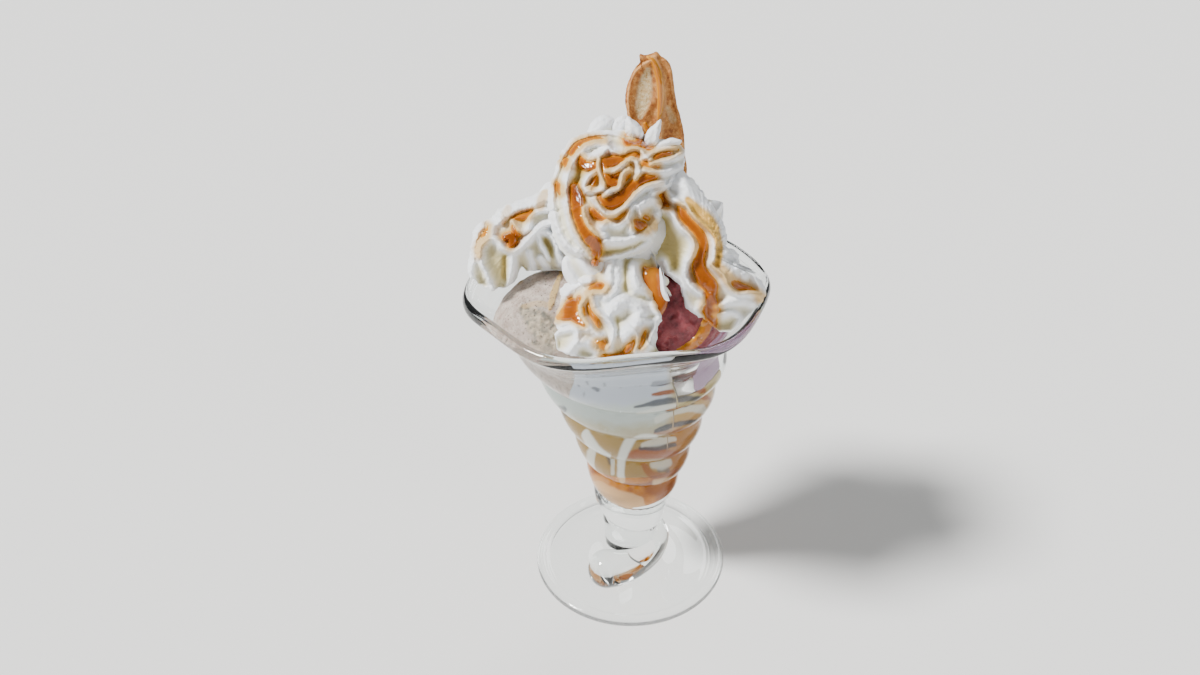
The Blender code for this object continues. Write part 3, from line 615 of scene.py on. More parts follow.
def piece(name, rings, material, attributes=None):
    """A closed mesh from rings of points (rings, points round, 3) in mm.

    The first and last ring are closed by a fan to their mean point, and the
    faces are turned so that the volume is positive.  attributes are named
    arrays of one number per ring point, kept on the mesh for its material.
    """
    count, around = rings.shape[:2]
    points = np.vstack([rings.reshape(-1, 3), rings[0].mean(axis=0)[None],
                        rings[-1].mean(axis=0)[None]])
    quads = grid_quads(count, around).reshape(-1, 4)
    i, k = np.arange(around), (np.arange(around) + 1) % around
    base = (count - 1) * around
    first = np.full(around, count * around)
    fans = np.vstack([np.stack([first, k, i], axis=-1),
                      np.stack([first + 1, base + i, base + k], axis=-1)])
    if six_volumes(points, quads) + six_volumes(points, fans) < 0:
        quads, fans = quads[:, ::-1], fans[:, ::-1]
    ends = {label: np.concatenate([values.ravel(), [values[0].mean()], [values[-1].mean()]])
            for label, values in (attributes or {}).items()}
    return made(name, points, quads.tolist() + fans.tolist(), ends, material)


def caramel_sheet(name, top, under, lift, least, material):
    """A closed sheet between two grids, where lift at a corner passes least.

    Grids are (rows, round, 3) and wrap round.  Edges used by one kept face
    only get a side wall down to the under side.
    """
    rows, around = lift.shape
    count = rows * around
    corners = np.stack([lift[:-1], lift[1:]])
    kept = np.maximum(corners, np.roll(corners, -1, axis=2)).max(axis=0) > least
    quads = grid_quads(rows, around)[kept]
    start, end = quads.ravel(), np.roll(quads, -1, axis=1).ravel()
    border = ~np.isin(start * count + end, end * count + start)
    start, end = start[border], end[border]
    faces = np.vstack([quads, quads[:, ::-1] + count,
                       np.stack([end, start, start + count, end + count], axis=-1)])
    used, faces = np.unique(faces, return_inverse=True)
    faces = faces.reshape(-1, 4)
    points = np.vstack([top.reshape(-1, 3), under.reshape(-1, 3)])[used]
    if six_volumes(points, faces) < 0:
        faces = faces[:, ::-1]
    thick = np.tile(np.clip(lift, 0, 5).ravel(), 2)[used]
    return made(name, points, faces.tolist(), {"thick": thick}, material)


def joined(obj, others):
    """Unites obj with closed meshes, which then go, by one Boolean."""
    group = bpy.data.collections.new("joined")
    bpy.context.scene.collection.children.link(group)
    for other in others:
        for home in list(other.users_collection):
            home.objects.unlink(other)
        group.objects.link(other)
    step = obj.modifiers.new("Union", "BOOLEAN")
    step.operation, step.solver = "UNION", "MANIFOLD"
    step.operand_type, step.collection = "COLLECTION", group
    view = bpy.context.evaluated_depsgraph_get()
    view.update()
    mesh = bpy.data.meshes.new_from_object(obj.evaluated_get(view))
    obj.modifiers.clear()
    obj.data = mesh
    for other in others:
        bpy.data.objects.remove(other, do_unlink=True)
    bpy.data.collections.remove(group)
    return obj


# ---------------------------------------------------------- paths, frames
def through(points, closed=False, fine=10, count=None):
    """Catmull-Rom curve through points (n, k): fine steps a span, or count points."""
    p = np.asarray(points, float)
    first, last = ((p[-1:], p[:2]) if closed else
                   (2 * p[:1] - p[1:2], 2 * p[-1:] - p[-2:-1]))
    p = np.vstack([first, p, last])
    spans = len(p) - 3
    s = np.linspace(0, spans - 1e-9, count) if count else np.linspace(0, spans, spans * fine + 1)
    i = np.minimum(s.astype(int), spans - 1)
    t = (s - i)[:, None]
    a, b, c, d = p[i], p[i + 1], p[i + 2], p[i + 3]
    return 0.5 * (2 * b + (c - a) * t + (2 * a - 5 * b + 4 * c - d) * t ** 2
                  + (3 * b - a - 3 * c + d) * t ** 3)


def drawn_line(numbers, columns, fine=5, closed=False):
    """The smooth line through drawn points, in a row and in tenths of a mm."""
    return through(np.reshape(numbers, (-1, columns)) / 10, closed, fine)


def frames(path):
    """Two directions across a path at each point, carried without twist."""
    tangent = np.gradient(path, axis=0)
    tangent /= np.linalg.norm(tangent, axis=1)[:, None]
    side = np.cross(tangent[0], (0.0, 0.0, 1.0))
    side = unit(side) if np.linalg.norm(side) > 1e-3 else np.array((1.0, 0, 0))
    sides = []
    for t in tangent:
        side = unit(side - t * side.dot(t))
        sides.append(side)
    sides = np.array(sides)
    return sides, np.cross(sides, tangent)


def tube(path, radii, sides):
    """Rings of a round tube: path point + radius across its two directions."""
    side, up = frames(path)
    u = full_turn(sides)[..., None]
    return path[:, None] + radii[:, None, None] * (np.cos(u) * side[:, None]
                                                   + np.sin(u) * up[:, None])


def sampled(v, table):
    """Rows of a table, evenly spaced from v = 0 to 1, blended at v."""
    place = np.clip(v, 0, 1) * (len(table) - 1)
    i = np.minimum(place.astype(int), len(table) - 2)
    t = (place - i).reshape(place.shape + (1,) * (table.ndim - 1))
    return table[i] * (1 - t) + table[i + 1] * t


# ------------------------------------------------------------------ glass
def centre_x(z):
    """The glass leans a little: how far its axis is off to the side."""
    return eased(z, (0.0, 14.0, 40.0, 66.0, 90.0, 112.0, 132.0, 150.0),
                 (FOOT_SHIFT, FOOT_SHIFT + 0.3, STEM_SHIFT, 7.1, 6.2, 4.4, -1.4, 0.0))


def lobes(z, theta):
    """The mouth's scallops from -1 to 1, which grow upwards from nothing."""
    return (np.cos(SCALLOPS * (theta - SCALLOP_TURN))
            * np.clip((z - SCALLOP_FROM) / SCALLOP_OVER, 0, 1) ** 1.5)


def bowl_radius(z):
    """Outside of the bowl and stem, without the steps."""
    heights, radii = zip(*OUTER_STATIONS)
    return eased(z, heights, radii)


def inner_radius(z):
    """Inside of the bowl, smooth, closing to a round bottom."""
    depth = np.clip((z - INNER_BOTTOM) / BOTTOM_ROUND, 0, 1)
    return (bowl_radius(z) - WALL - 0.6) * np.sqrt(np.clip(1 - (1 - depth) ** 2, 0, 1))


def ring(z, radius, theta):
    """Level rings of the glass, with the scallops of its mouth."""
    lobe = lobes(z, theta)
    r = radius + SCALLOP_RADIAL * lobe
    return np.stack([centre_x(z) + r * np.cos(theta), r * np.sin(theta),
                     z - SCALLOP_RISE * lobe], axis=-1)


def stepped_radius(z, theta, ridge_depth):
    """Outside of the bowl: cups stacked in a spiral.

    Over each pitch the radius goes from its value at the cup's foot to that
    at its brim by sin(a quarter turn of the way) ^ 0.9, so the brim stands
    upright, and it dips by part of the ridge's depth in the seam.
    """
    turn = (z / RIDGE_PITCH + theta / (2 * pi) + RIDGE_PHASE) % 1.0
    foot = z - turn * RIDGE_PITCH
    step = np.sin(pi / 2 * np.clip(turn * 1.25, 0, 1)) ** 0.9
    low, high = bowl_radius(foot), bowl_radius(foot + RIDGE_PITCH)
    seam = np.abs(2 * turn - 1) ** 5
    cups = low + (high - low) * step - 0.6 * ridge_depth * seam
    amount = smooth(16, 26, z) * (1 - smooth(118, 132, z))      # none in foot and lip
    return bowl_radius(z) * (1 - amount) + cups * amount


def bowl_rings(ridge_depth, around=180):
    """Outside from the foot up, over the rolled lip, and down the inside."""
    theta = full_turn(around)
    z = np.concatenate([np.linspace(2, 20, 16), np.linspace(20.5, 124, 190),
                        np.linspace(125, 142, 18)])[:, None]
    outside = ring(z, stepped_radius(z, theta, ridge_depth), theta)
    # the lip is a rounded band: an ellipse in section, flattened outside
    turn = np.linspace(-0.42 * pi, 1.08 * pi, 26)[:, None]
    mid_r, mid_z = RIM_RADIUS - LIP_THICKNESS / 2 - 0.1, RIM_HEIGHT - LIP_HALF
    lip = ring(mid_z + LIP_HALF * np.sin(turn), mid_r + (LIP_THICKNESS / 2 + 0.1)
               * np.sign(np.cos(turn)) * np.abs(np.cos(turn)) ** 0.8, theta + 0 * turn)
    z = np.concatenate([np.linspace(141, 60, 70), np.linspace(59, 43.6, 30)])[:, None]
    inside = ring(z, inner_radius(z), theta)
    return np.concatenate([outside, lip, inside])


def foot_rings(around=180):
    """Round foot: flat ring below, a round bead at the edge, a low dome."""
    theta = full_turn(around)
    turn = np.linspace(-0.5 * pi, 0.62 * pi, 22)
    bead = np.stack([FOOT_RADIUS - BEAD_REACH + BEAD_REACH * np.cos(turn),
                     FOOT_BEAD / 2 + FOOT_BEAD / 2 * np.sin(turn)], axis=-1)
    groove = np.stack([np.linspace(FOOT_RADIUS - 4.4, FOOT_RADIUS - 8.5, 12),
                       FOOT_PLATE - 0.7 * np.sin(np.linspace(0, pi, 12)) ** 2
                       + np.linspace(0, 0.2, 12)], axis=-1)
    r = np.linspace(FOOT_RADIUS - 10, 9, 30)
    dome = np.stack([r, FOOT_PLATE + 0.2 + 4.2 * np.clip((24 - r) / 15, 0, 1) ** 2.2], axis=-1)
    under = np.array([(8.0, 0.8), (24.0, 0.8), (FOOT_RADIUS - 7.0, 0.8),
                      (FOOT_RADIUS - 5.5, 0.15), (FOOT_RADIUS - 5.0, 0.0)])
    profile = np.concatenate([under, bead, groove, dome])
    r, z = profile[:, 0][:, None], profile[:, 1][:, None]
    return np.stack([FOOT_SHIFT + r * np.cos(theta), r * np.sin(theta),
                     z + 0 * theta], axis=-1)


def curl_rings():
    """Tail of the spiral: it comes round the stem and ends in a round knob."""
    path = through(CURL, fine=18)
    centre, radius = path[-1, :3], path[-1, 3]
    way = unit(centre - path[-2, :3])
    turn = np.radians(np.linspace(4, 88, 22))
    ball = np.column_stack([centre + radius * np.sin(turn)[:, None] * way,
                            radius * np.cos(turn)])
    path = np.vstack([path, ball])
    return tube(path[:, :3], path[:, 3], 64)


# --------------------------------------------------------------- fillings
def caramel_top(x, y):
    """Height of the caramel's upper surface, a little wavy."""
    return CARAMEL_LEVEL + 2.0 * np.sin(x / 8.0 + 0.6) + 1.5 * np.cos(y / 7.0)


def vanilla_top(x, y):
    """Height of the vanilla's upper surface.

    It is level, with a mound behind and a rise all along the front and, between
    the two scoops, a block that is pressed on the glass up to the mouth.
    """
    (bx, by), spread, rise = BACK_SCOOP
    mound = rise * np.exp(-((x - bx) ** 2 + (y - by) ** 2) / (2 * spread ** 2))
    left, right, back, height = FRONT_BLOCK
    level = (VANILLA_LEVEL + mound + 1.2 * np.sin(x / 7.0) * np.cos(y / 6.0)
             - 5.0 * np.clip((x - 12) / 20, 0, 1)
             + (FRONT_RISE + 4.0 * np.clip((x - 14) / 4, 0, 1)) * np.clip((-4 - y) / 8, 0, 1))
    block = (np.clip((x - left) / 3 + 0.5, 0, 1) * np.clip((right - x) / 3 + 0.5, 0, 1)
             * np.clip((back - y) / 4 + 0.5, 0, 1))
    return level + (height - level) * block


def filling_rings(low, top, around, up, across):
    """A filling against the glass: up the wall, then over its top to the middle.

    low and top are heights as functions of x and y.  Without low it fills the
    bowl's round bottom.
    """
    theta = full_turn(around)

    def level(height):
        z = np.arange(INNER_BOTTOM + 1, 140.0, 0.2)[:, None]
        p = ring(z, inner_radius(z) + BITE, theta)
        return np.where(z <= height(p[..., 0], p[..., 1]), z, 0.0).max(axis=0)[None]

    def inwards(edge, z, part):
        return centre_x(z) + (edge[:, 0] - centre_x(z)) * part, edge[:, 1] * part

    z_low = level(low) if low else np.full((1, around), INNER_BOTTOM - BITE + 0.2)
    z_top = level(top)
    s = np.linspace(0, 1, up)[:, None]
    z = z_low + (z_top - z_low) * (s if low else s ** 1.6)
    near_bottom = z < INNER_BOTTOM + BOTTOM_ROUND
    wall = ring(z, inner_radius(z + 0.2 * near_bottom) + BITE, theta)
    part = np.linspace(0.985, 0.02, across)[:, None]
    x, y = inwards(wall[-1], z_top, part)
    edge = smooth(0.90, 1.0, part)
    rings = [wall, np.stack([x, y, top(x, y) * (1 - edge) + z_top * edge], axis=-1)]
    if low:
        x, y = inwards(wall[0], z_low, np.linspace(0.03, 0.97, 14)[:, None])
        rings.insert(0, np.stack([x, y, low(x, y)], axis=-1))
    return np.concatenate(rings)


def seen_at(points):
    """Where points lie in the drawing plane that the camera looks at, in mm."""
    v = points - EYE
    far = v @ AHEAD / VIEW_DEPTH
    return v @ RIGHT / far, v @ UP / far


def marked(x, y, strokes, wave, edge=(0.7, 1.3)):
    """0 to 1 where drawn strokes (strength, line with radii) pass over x, y."""
    mark = np.zeros(x.shape)
    for strength, line in strokes:
        far, radius = beside(x, y, drawn_line(line, 3))
        mark = np.maximum(mark, strength * (1 - smooth(*edge, (far + wave) / radius)))
    return mark


def painted(points, strokes):
    """0 to 1 where drawn strokes lie on the wall of the fillings.

    The strokes are drawn where the camera sees them; the glass spreads what
    is in it to its sides.  The far side gets the same strokes, turned half
    round, and they fade where the two sides meet.
    """
    x, y, z = points[..., 0], points[..., 1], points[..., 2]
    x = centre_x(z) + (x - centre_x(z)) * GLASS_SPREAD * np.where(y > 0, -1, 1)
    p = np.stack([x, -np.abs(y), z], -1)
    return (marked(*seen_at(p), strokes, 0.4 * noise(points, 5.0, 41, 3))
            * smooth(0.5, 6.0, np.abs(y)))


def drawn_on(points, out, strokes, size=2.0, edge=(0.7, 1.3)):
    """0 to 1 where drawn strokes lie on the side of a ball that the camera sees."""
    near = smooth(0.0, 0.25, -(out @ AHEAD))
    return near * marked(*seen_at(points), strokes, 0.5 * noise(points, size, 45, 3), edge)


def ball_rings(centre, radii, around, along):
    """Rings of an ellipsoid from its top to its bottom."""
    u = full_turn(around)
    v = np.linspace(0.006, 0.994, along)[:, None] * pi
    ball = np.stack([np.sin(v) * np.cos(u), np.sin(v) * np.sin(u), np.cos(v) + 0 * u], axis=-1)
    return np.asarray(centre) + ball * np.asarray(radii), ball


def held_in_glass(points):
    """Points outside the inside wall are pulled in to it, below the rim.

    They stay 1.5 mm off the wall where the vanilla is pressed on it.  Returns
    the points and how hard each presses on the glass, 0 to 1.
    """
    x, y, z = points[..., 0], points[..., 1], points[..., 2]
    middle = centre_x(z)
    reach = np.hypot(x - middle, y)
    limit = (inner_radius(z) + BITE
             + SCALLOP_RADIAL * lobes(z, np.arctan2(y, x - middle))
             + 8 * smooth(RIM_HEIGHT - 2, RIM_HEIGHT + 8, z))
    covered = smooth(-0.8, 0.8, vanilla_top(x, y) + 0.8 * noise(points, 4.0, 43, 2) - z)
    limit = limit - 1.5 * covered
    scale = np.where(reach > limit, limit / np.maximum(reach, 1e-6), 1)
    held = np.stack([middle + (x - middle) * scale, y * scale, z], axis=-1)
    return held, smooth(-0.6, 0.2, reach - limit)


# ---------------------------------------------------------- whipped cream
def off_line(x, y, line):
    """Distance of points x, y from a line, + on its right, and the nearest spot.

    The nearest spot is a number of segments from the line's start.
    """
    line = np.asarray(line, float)[:, :2]
    best = np.full(x.shape, 1e9)
    side, spot = np.zeros(x.shape), np.zeros(x.shape)
    for n, (p, q) in enumerate(zip(line[:-1], line[1:])):
        d = q - p
        t = np.clip(((x - p[0]) * d[0] + (y - p[1]) * d[1]) / max(d @ d, 1e-9), 0, 1)
        dx, dy = x - p[0] - t * d[0], y - p[1] - t * d[1]
        far = dx * dx + dy * dy
        near = far < best
        best = np.where(near, far, best)
        side = np.where(near, d[1] * dx - d[0] * dy, side)
        spot = np.where(near, n + t, spot)
    return np.sqrt(best) * np.where(side < 0, -1.0, 1.0), spot


def beside(x, y, line):
    """Distance of points x, y from a line with radii, and the radius there."""
    d, spot = off_line(x, y, line)
    return np.abs(d), np.interp(spot, np.arange(len(line)), line[:, 2])


class Heap:
    """Whipped cream drawn by its outline and the lines of its crests.

    u goes round the outline and v from the middle of the front (0) over the
    edge to the middle of the back (1).  Its section is a pillow: bulge times
    (1 - part of the way to the outline ^ 2.6) ^ 0.6.  In front the surface
    sinks by the groove's depth away from the crests, each of which has a
    crisp top and a wide foot, as relief() says.
    """

    def __init__(self, centre, depth, front, back, outline, lean=(0, 0), groove=0.0,
                 width=1.5, crests=(), dips=(), sauce=(), stains=(), seed=1):
        self.centre, self.depth, self.lean = centre, depth, lean
        self.front, self.back, self.groove, self.width = front, back, groove, width
        self.crests = [(h, wr, wl, drawn_line(line, 2)) for h, wr, wl, line in crests]
        self.dips = [(h, w, drawn_line(line, 2)) for h, w, line in dips]
        self.sauce = [(level, film, drawn_line(line, 3)) for level, film, line in sauce]
        self.stains = [(h, drawn_line(line, 3, fine=4)) for h, line in stains]
        self.seed = seed
        rim = drawn_line(outline, 2, fine=12, closed=True)[:-1] - centre
        angle = np.arctan2(rim[:, 1], rim[:, 0])
        order = np.argsort(angle)
        self.rim_angle, self.rim_reach = angle[order], np.hypot(*rim.T)[order]

    def flat(self, u, v):
        """Place on the view plane, and the pillow's height from 1 to -1."""
        rho = np.sin(pi * v)
        reach = np.interp(u, self.rim_angle, self.rim_reach, period=2 * pi)
        # the crinkled edge of torn cream
        edge = np.stack([reach * np.cos(u), reach * np.sin(u), 0 * u], -1)
        reach = reach + min(0.65, self.front / 14) * noise(edge, 1.2, self.seed + 7, 3)
        a = self.centre[0] + reach * rho * np.cos(u)
        b = self.centre[1] + reach * rho * np.sin(u)
        pillow = (1 - rho ** 2.6).clip(0) ** 0.6 * np.where(v < 0.5, 1, -1)
        return a, b, pillow

    def relief(self, a, b):
        """0 in a groove, 1 on a crest, as the drawn lines say."""
        wave, other, torn = (noise(np.stack([a, b, 0 * a + away], -1), size, self.seed, 2)
                             for away, size in ((0, 3.0), (50, 3.0), (90, 1.0)))
        a, b = a + 0.35 * wave + 0.16 * torn, b + 0.35 * other - 0.16 * torn
        total = 1e-6
        for height, right, left, line in self.crests:
            d, _ = off_line(a, b, line)
            d = np.abs(d) / (self.width * np.where(d > 0, right, left))
            rise = 0.8 / (1 + d ** 2.4) + 0.2 / (1 + (d / 3) ** 2)  # crisp top, wide foot
            total = total + (height * rise) ** 4
        total = total ** 0.25
        for height, width, line in self.dips:
            d, _ = off_line(a, b, line)
            total = total - height / (1 + (d / width) ** 2)
        return total

    def build(self, around, along):
        """A closed grid over the heap, and its relief from 0 to 1."""
        u = np.linspace(-pi, pi, around, endpoint=False)[None] + np.zeros((along, 1))
        front = along * 2 // 3                  # two thirds of the rows are in front
        v = np.concatenate([np.linspace(0.004, 0.5, front, endpoint=False),
                            np.linspace(0.5, 0.996, along - front)])[:, None] + 0 * u
        a, b, pillow = self.flat(u, v)
        weight = smooth(0.0, 0.45, pillow)
        shown = pillow[:, 0] > 0
        relief = np.zeros(a.shape)
        relief[shown] = self.relief(a[shown], b[shown])
        self.grid = (u, a, b, pillow, weight, relief, shown)
        # the relief returned here sets the painted groove shade of the cream's material, on the
        # far side from its piped ridges
        behind = 0.5 + 0.5 * self.back_crest(a, b)
        return self.surface(0.0), np.where(shown[:, None], relief * weight
                                           + (1 - weight) * 0.6, behind)

    def back_crest(self, a, b):
        """The long piped ridges of the far side, 0 in a groove, nearly 1 on a crest."""
        wave = np.sin(2 * pi * (b - self.centre[1]) / 7.5 + 1.2 * np.sin(a / 5.0) + self.seed)
        return 1 - np.sqrt(0.02 + (1 - wave) / 2)

    def surface(self, lift):
        """Points of the grid in mm, lifted towards the eye."""
        u, a, b, pillow, weight, relief, shown = self.grid
        off = np.where(pillow > 0, -self.front * pillow, -self.back * pillow)
        slant = self.lean[0] * (a - self.centre[0]) + self.lean[1] * (b - self.centre[1])
        depth = self.depth + slant + off + self.groove * weight * (1 - relief) - lift
        behind = smooth(0.0, 0.5, -pillow)
        depth = depth - 0.44 * self.groove * behind * self.back_crest(a, b)
        points = (EYE + (a[..., None] * RIGHT + b[..., None] * UP + VIEW_DEPTH * AHEAD)
                  * (depth / VIEW_DEPTH)[..., None])
        rough = (0.5 * noise(points, 1.3, self.seed, 3) * (0.25 + 0.75 * smooth(0.5, 0.9, relief))
                 + 0.5 * noise(points, 6.0, self.seed + 3, 2))
        rough = rough * min(1.0, self.front / 9)
        flank = np.sqrt(1 - np.minimum(np.abs(pillow), 1) ** 2)
        out = (flank[..., None] * (np.cos(u)[..., None] * RIGHT + np.sin(u)[..., None] * UP)
               - pillow[..., None] * AHEAD)
        return points + rough[..., None] * out

    def sauce_lift(self):
        """How far the sauce stands over the cream, mm; below 0 it's inside."""
        u, a, b, pillow, weight, relief, shown = self.grid
        lift = np.full(a.shape, -1.0)
        x, y = a[shown], b[shown]
        best = np.full(x.shape, -1.0)
        for level, film, line in self.sauce:
            far, radius = beside(x, y, line)
            inside = np.minimum(radius - far, 2.0)             # mm from the edge, to 2
            fill = (self.groove * weight[shown] * (level - relief[shown]) + film
                    + chosen().sauce_rise / MM)
            body = -0.8 + (0.8 + np.maximum(fill, -1.5)) * smooth(-0.5, 1.3, inside)
            body = np.where(inside > -0.6, body, -1.0)
            best = np.maximum(best, body)
        lift[shown] = best
        return lift

    def stain(self, soak=0.8):
        """0 to 1: how much caramel has soaked into the cream's surface."""
        u, a, b, pillow, weight, relief, shown = self.grid
        total = np.zeros(a.shape)
        x, y = a[shown], b[shown]
        mark = np.zeros(x.shape)
        for strength, line in self.stains:
            far, radius = beside(x, y, line)
            mark = np.maximum(mark, strength * (1 - smooth(0.5, 1.25, far / radius)))
        for level, film, line in self.sauce:
            far, radius = beside(x, y, line)
            mark = np.maximum(mark, soak * (1 - smooth(-0.3, 2.2, far - radius)))
        total[shown] = mark
        return total


def star(u, ridges, depth):
    """Section of cream from a star nozzle: narrow crests, round grooves."""
    return 1 - depth * (np.sqrt(np.sin(ridges * u / 2) ** 2 + 0.012) - 0.11)


def crest(u, ridges):
    """1 on a crest, 0 in a groove."""
    return 1 - np.abs(np.sin(ridges * u / 2))


class Ribbon:
    """Cream piped along a path.  place(u, v) gives points on it.

    u goes round the section and v from 0 to 1 along the ribbon.  Lines of
    constant u follow a crest or a groove, so they turn with the ribbon's
    twist and sway by a sine of v, as the piping bag wobbles.
    """
    ridges, twist, sway, sways = 5, 0.2, 0.10, 2.5

    def __init__(self, points, depth, phase, seed):
        path = through(points, count=240)
        side, up = frames(path[:, :3])
        self.table = np.stack([path[:, :3], side, up], axis=1)
        self.radius, self.depth, self.phase, self.seed = path[:, 3], depth, phase, seed

    def place(self, u, v):
        u, v = np.broadcast_arrays(u, v)
        spot = sampled(v, self.table)
        centre, side, up = spot[..., 0, :], spot[..., 1, :], spot[..., 2, :]
        beat = self.sway * np.sin(2 * pi * self.sways * v + self.phase + u)
        small = self.sway * np.sin(2 * pi * self.sways * 2.7 * v + 2.3 * self.phase + 2 * u)
        angle = u + self.twist * v * 2 * pi + 2.2 * beat + 0.6 * small
        ends = np.maximum((v - 0.90) / 0.10, (0.06 - v) / 0.06).clip(0, 1)
        r = (sampled(v, self.radius) * np.sqrt(np.clip(1 - ends ** 2, 0.02, 1))
             * star(u, self.ridges, self.depth) * (1 + beat + 0.35 * small))
        out = np.cos(angle)[..., None] * side + np.sin(angle)[..., None] * up
        return centre + r[..., None] * out, out


class Dome:
    """A swirled curl: star ridges that wind from its tip to its back."""
    ridges, turns = 5, 0.6

    def __init__(self, centre, axis, radius, front, back, depth, seed):
        self.centre, self.axis = np.asarray(centre, float), unit(axis)
        right = unit(np.cross(self.axis, (0.0, 0.0, 1.0)))
        self.right = right if right[0] > 0 else -right
        self.up = np.cross(self.axis, self.right)
        self.radius, self.front, self.back = radius, front, back
        self.depth, self.seed = depth, seed

    def place(self, u, v):
        u, v = np.broadcast_arrays(u, v)
        t = 0.03 + 0.94 * v
        h = np.where(t < 0.5, self.front, self.back) * np.cos(pi * t)
        groove = self.depth * np.clip(np.sin(pi * t) * 1.6, 0.25, 1)
        angle = u + 2 * pi * self.turns * t + 0.10 * np.sin(5 * pi * v + u)
        r = self.radius * np.sin(pi * t) ** 0.8 * star(u, self.ridges, groove)
        out = np.cos(angle)[..., None] * self.right + np.sin(angle)[..., None] * self.up
        slope = np.cos(pi * t)[..., None]
        outward = out * np.sqrt(1 - np.clip(slope, -0.98, 0.98) ** 2) + slope * self.axis
        return self.centre + h[..., None] * self.axis + r[..., None] * out, outward


def piped_rings(form, around, along):
    """A high, closed grid over a ribbon or dome, with torn crests."""
    u = full_turn(around)
    v = np.linspace(0, 1, along)[:, None]
    base, out = form.place(u, v)
    edge = crest(u, form.ridges) ** 3
    wave = 3 * noise(base, 9.0, form.seed + 9, 1)
    rough = (0.7 * edge * noise(base, 1.6, form.seed, 3)
             + 0.22 * noise(base, 5.0, form.seed + 5, 2)
             + 0.10 * (1 - edge) * np.sin(9 * form.ridges * u + wave))
    # the second array, 0.35 in a groove to 1 on a crest, sets the cream's painted groove shade
    return base + rough[..., None] * out, 0.35 + 0.65 * crest(u, form.ridges) + 0 * v


# --------------------------------------------------------------- materials
def linear(code):
    """Linear red, green, blue and alpha of an sRGB colour written RRGGBB."""
    if not isinstance(code, str):
        return tuple(code)
    parts = [int(code[i:i + 2], 16) / 255 for i in (0, 2, 4)]
    return tuple(c / 12.92 if c <= 0.04045 else ((c + 0.055) / 1.055) ** 2.4
                 for c in parts) + (1.0,)


class Recipe:
    """A material, and one short way to add a node to it."""

    def __init__(self, name, colour, **sockets):
        self.mat = bpy.data.materials.new(name)
        self.mat.use_nodes = True
        self.shader = self.mat.node_tree.nodes["Principled BSDF"]
        self.set(self.shader, {"Base Color": linear(colour), **sockets})
        self.mat.diffuse_color = linear(colour)
        self.place = self.add("TexCoord", "Object")

    def set(self, node, inputs):
        """Links the inputs that are other nodes' outputs and sets the rest."""
        for name, value in inputs.items():
            if isinstance(value, bpy.types.NodeSocket):
                self.mat.node_tree.links.new(value, node.inputs[name])
            else:
                node.inputs[name].default_value = (
                    linear(value) if isinstance(value, str) else value)

    def add(self, kind, output, inputs=None, stops=(), **settings):
        """Adds a node and returns one of its outputs.

        stops are the places and colours of a colour ramp.
        """
        node = self.mat.node_tree.nodes.new("ShaderNode" + kind)
        for name, value in settings.items():
            setattr(node, name, value)
        for n, (place, colour) in enumerate(stops):
            elements = node.color_ramp.elements
            element = elements[n] if n < 2 else elements.new(place)
            element.position, element.color = place, linear(colour)
        self.set(node, inputs or {})
        return node.outputs[output]

    def coloured(self, base, **colours):
        """Lays colours over base, each where the attribute of its name says."""
        for mark, colour in colours.items():
            amount = self.add("Attribute", "Fac", attribute_name=mark)
            base = self.add("Mix", 2, {0: amount, 6: base, 7: colour}, data_type="RGBA")
        return base

    def finished(self, colour, grain, height, strength):
        """The material with its colour and a grain that stands `height` mm high."""
        normal = self.add("Bump", "Normal", {"Height": grain, "Distance": height * MM,
                                             "Strength": strength})
        self.set(self.shader, {"Base Color": colour, "Normal": normal})
        return self.mat


def per(size):
    """The scale of a pattern whose lumps are about `size` millimetres."""
    return 1.0 / (size * MM)


def chosen():
    """The sizes and colours that the user has set."""
    return bpy.context.scene.sundae


def pressed_glass():
    """Soda-lime glass pressed in a mould: clear, polished, a little wavy."""
    return Recipe("pressed soda-lime glass", chosen().glass_tint, **{
        "Transmission Weight": 1.0, "Roughness": 0.0, "IOR": 1.47}).mat


def whipped_cream():
    """Whipped dairy cream: white fat foam with painted yellowish shade in its grooves, stained by
    sauce.
    """
    r = Recipe("whipped dairy cream", "F4F2EA", **{
        "Roughness": 0.5, "Subsurface Weight": 0.12, "Subsurface Scale": 0.0012,
        "Subsurface Radius": (1.0, 0.9, 0.7), "Specular IOR Level": 0.35})
    relief = r.add("Attribute", "Fac", attribute_name="relief")
    # painted shade: the cream darkens and turns yellow from its crests (relief 1) down into its
    # grooves (relief 0)
    fold_shade = r.add("ValToRGB", "Color", {"Fac": relief}, (
        (0.02, "B8A66C"), (0.16, "D6CB9E"), (0.36, "E9E4D0"), (0.62, chosen().cream_colour)))
    foam = r.add("TexNoise", "Fac", {
        "Vector": r.place, "Scale": per(0.9), "Detail": 6.0, "Roughness": 0.7})
    return r.finished(r.coloured(fold_shade, stain="D0A02E"), foam, 0.28, 0.8)


def caramel_sauce():
    """Cooked sugar and cream: amber, pale where thin, brown where it lies thick."""
    r = Recipe("caramel sauce", "B96A1E", **{
        "Roughness": 0.13, "IOR": 1.46, "Subsurface Weight": 0.10,
        "Subsurface Scale": 0.0012, "Subsurface Radius": (1.0, 0.45, 0.12),
        "Coat Weight": 0.3, "Coat Roughness": 0.05})
    thick = r.add("Attribute", "Fac", attribute_name="thick")
    deep = r.add("MapRange", "Result", {"Value": thick, "From Max": 5.0})
    amber = r.add("ValToRGB", "Color", {"Fac": deep}, (
        (0.0, "D89C38"), (0.12, "C47C12"), (0.45, chosen().caramel_colour), (1.0, "743600")))
    flow = r.add("TexNoise", "Fac", {
        "Vector": r.place, "Scale": per(6.0), "Detail": 2.0, "Roughness": 0.55})
    return r.finished(amber, flow, 0.25, 0.35)


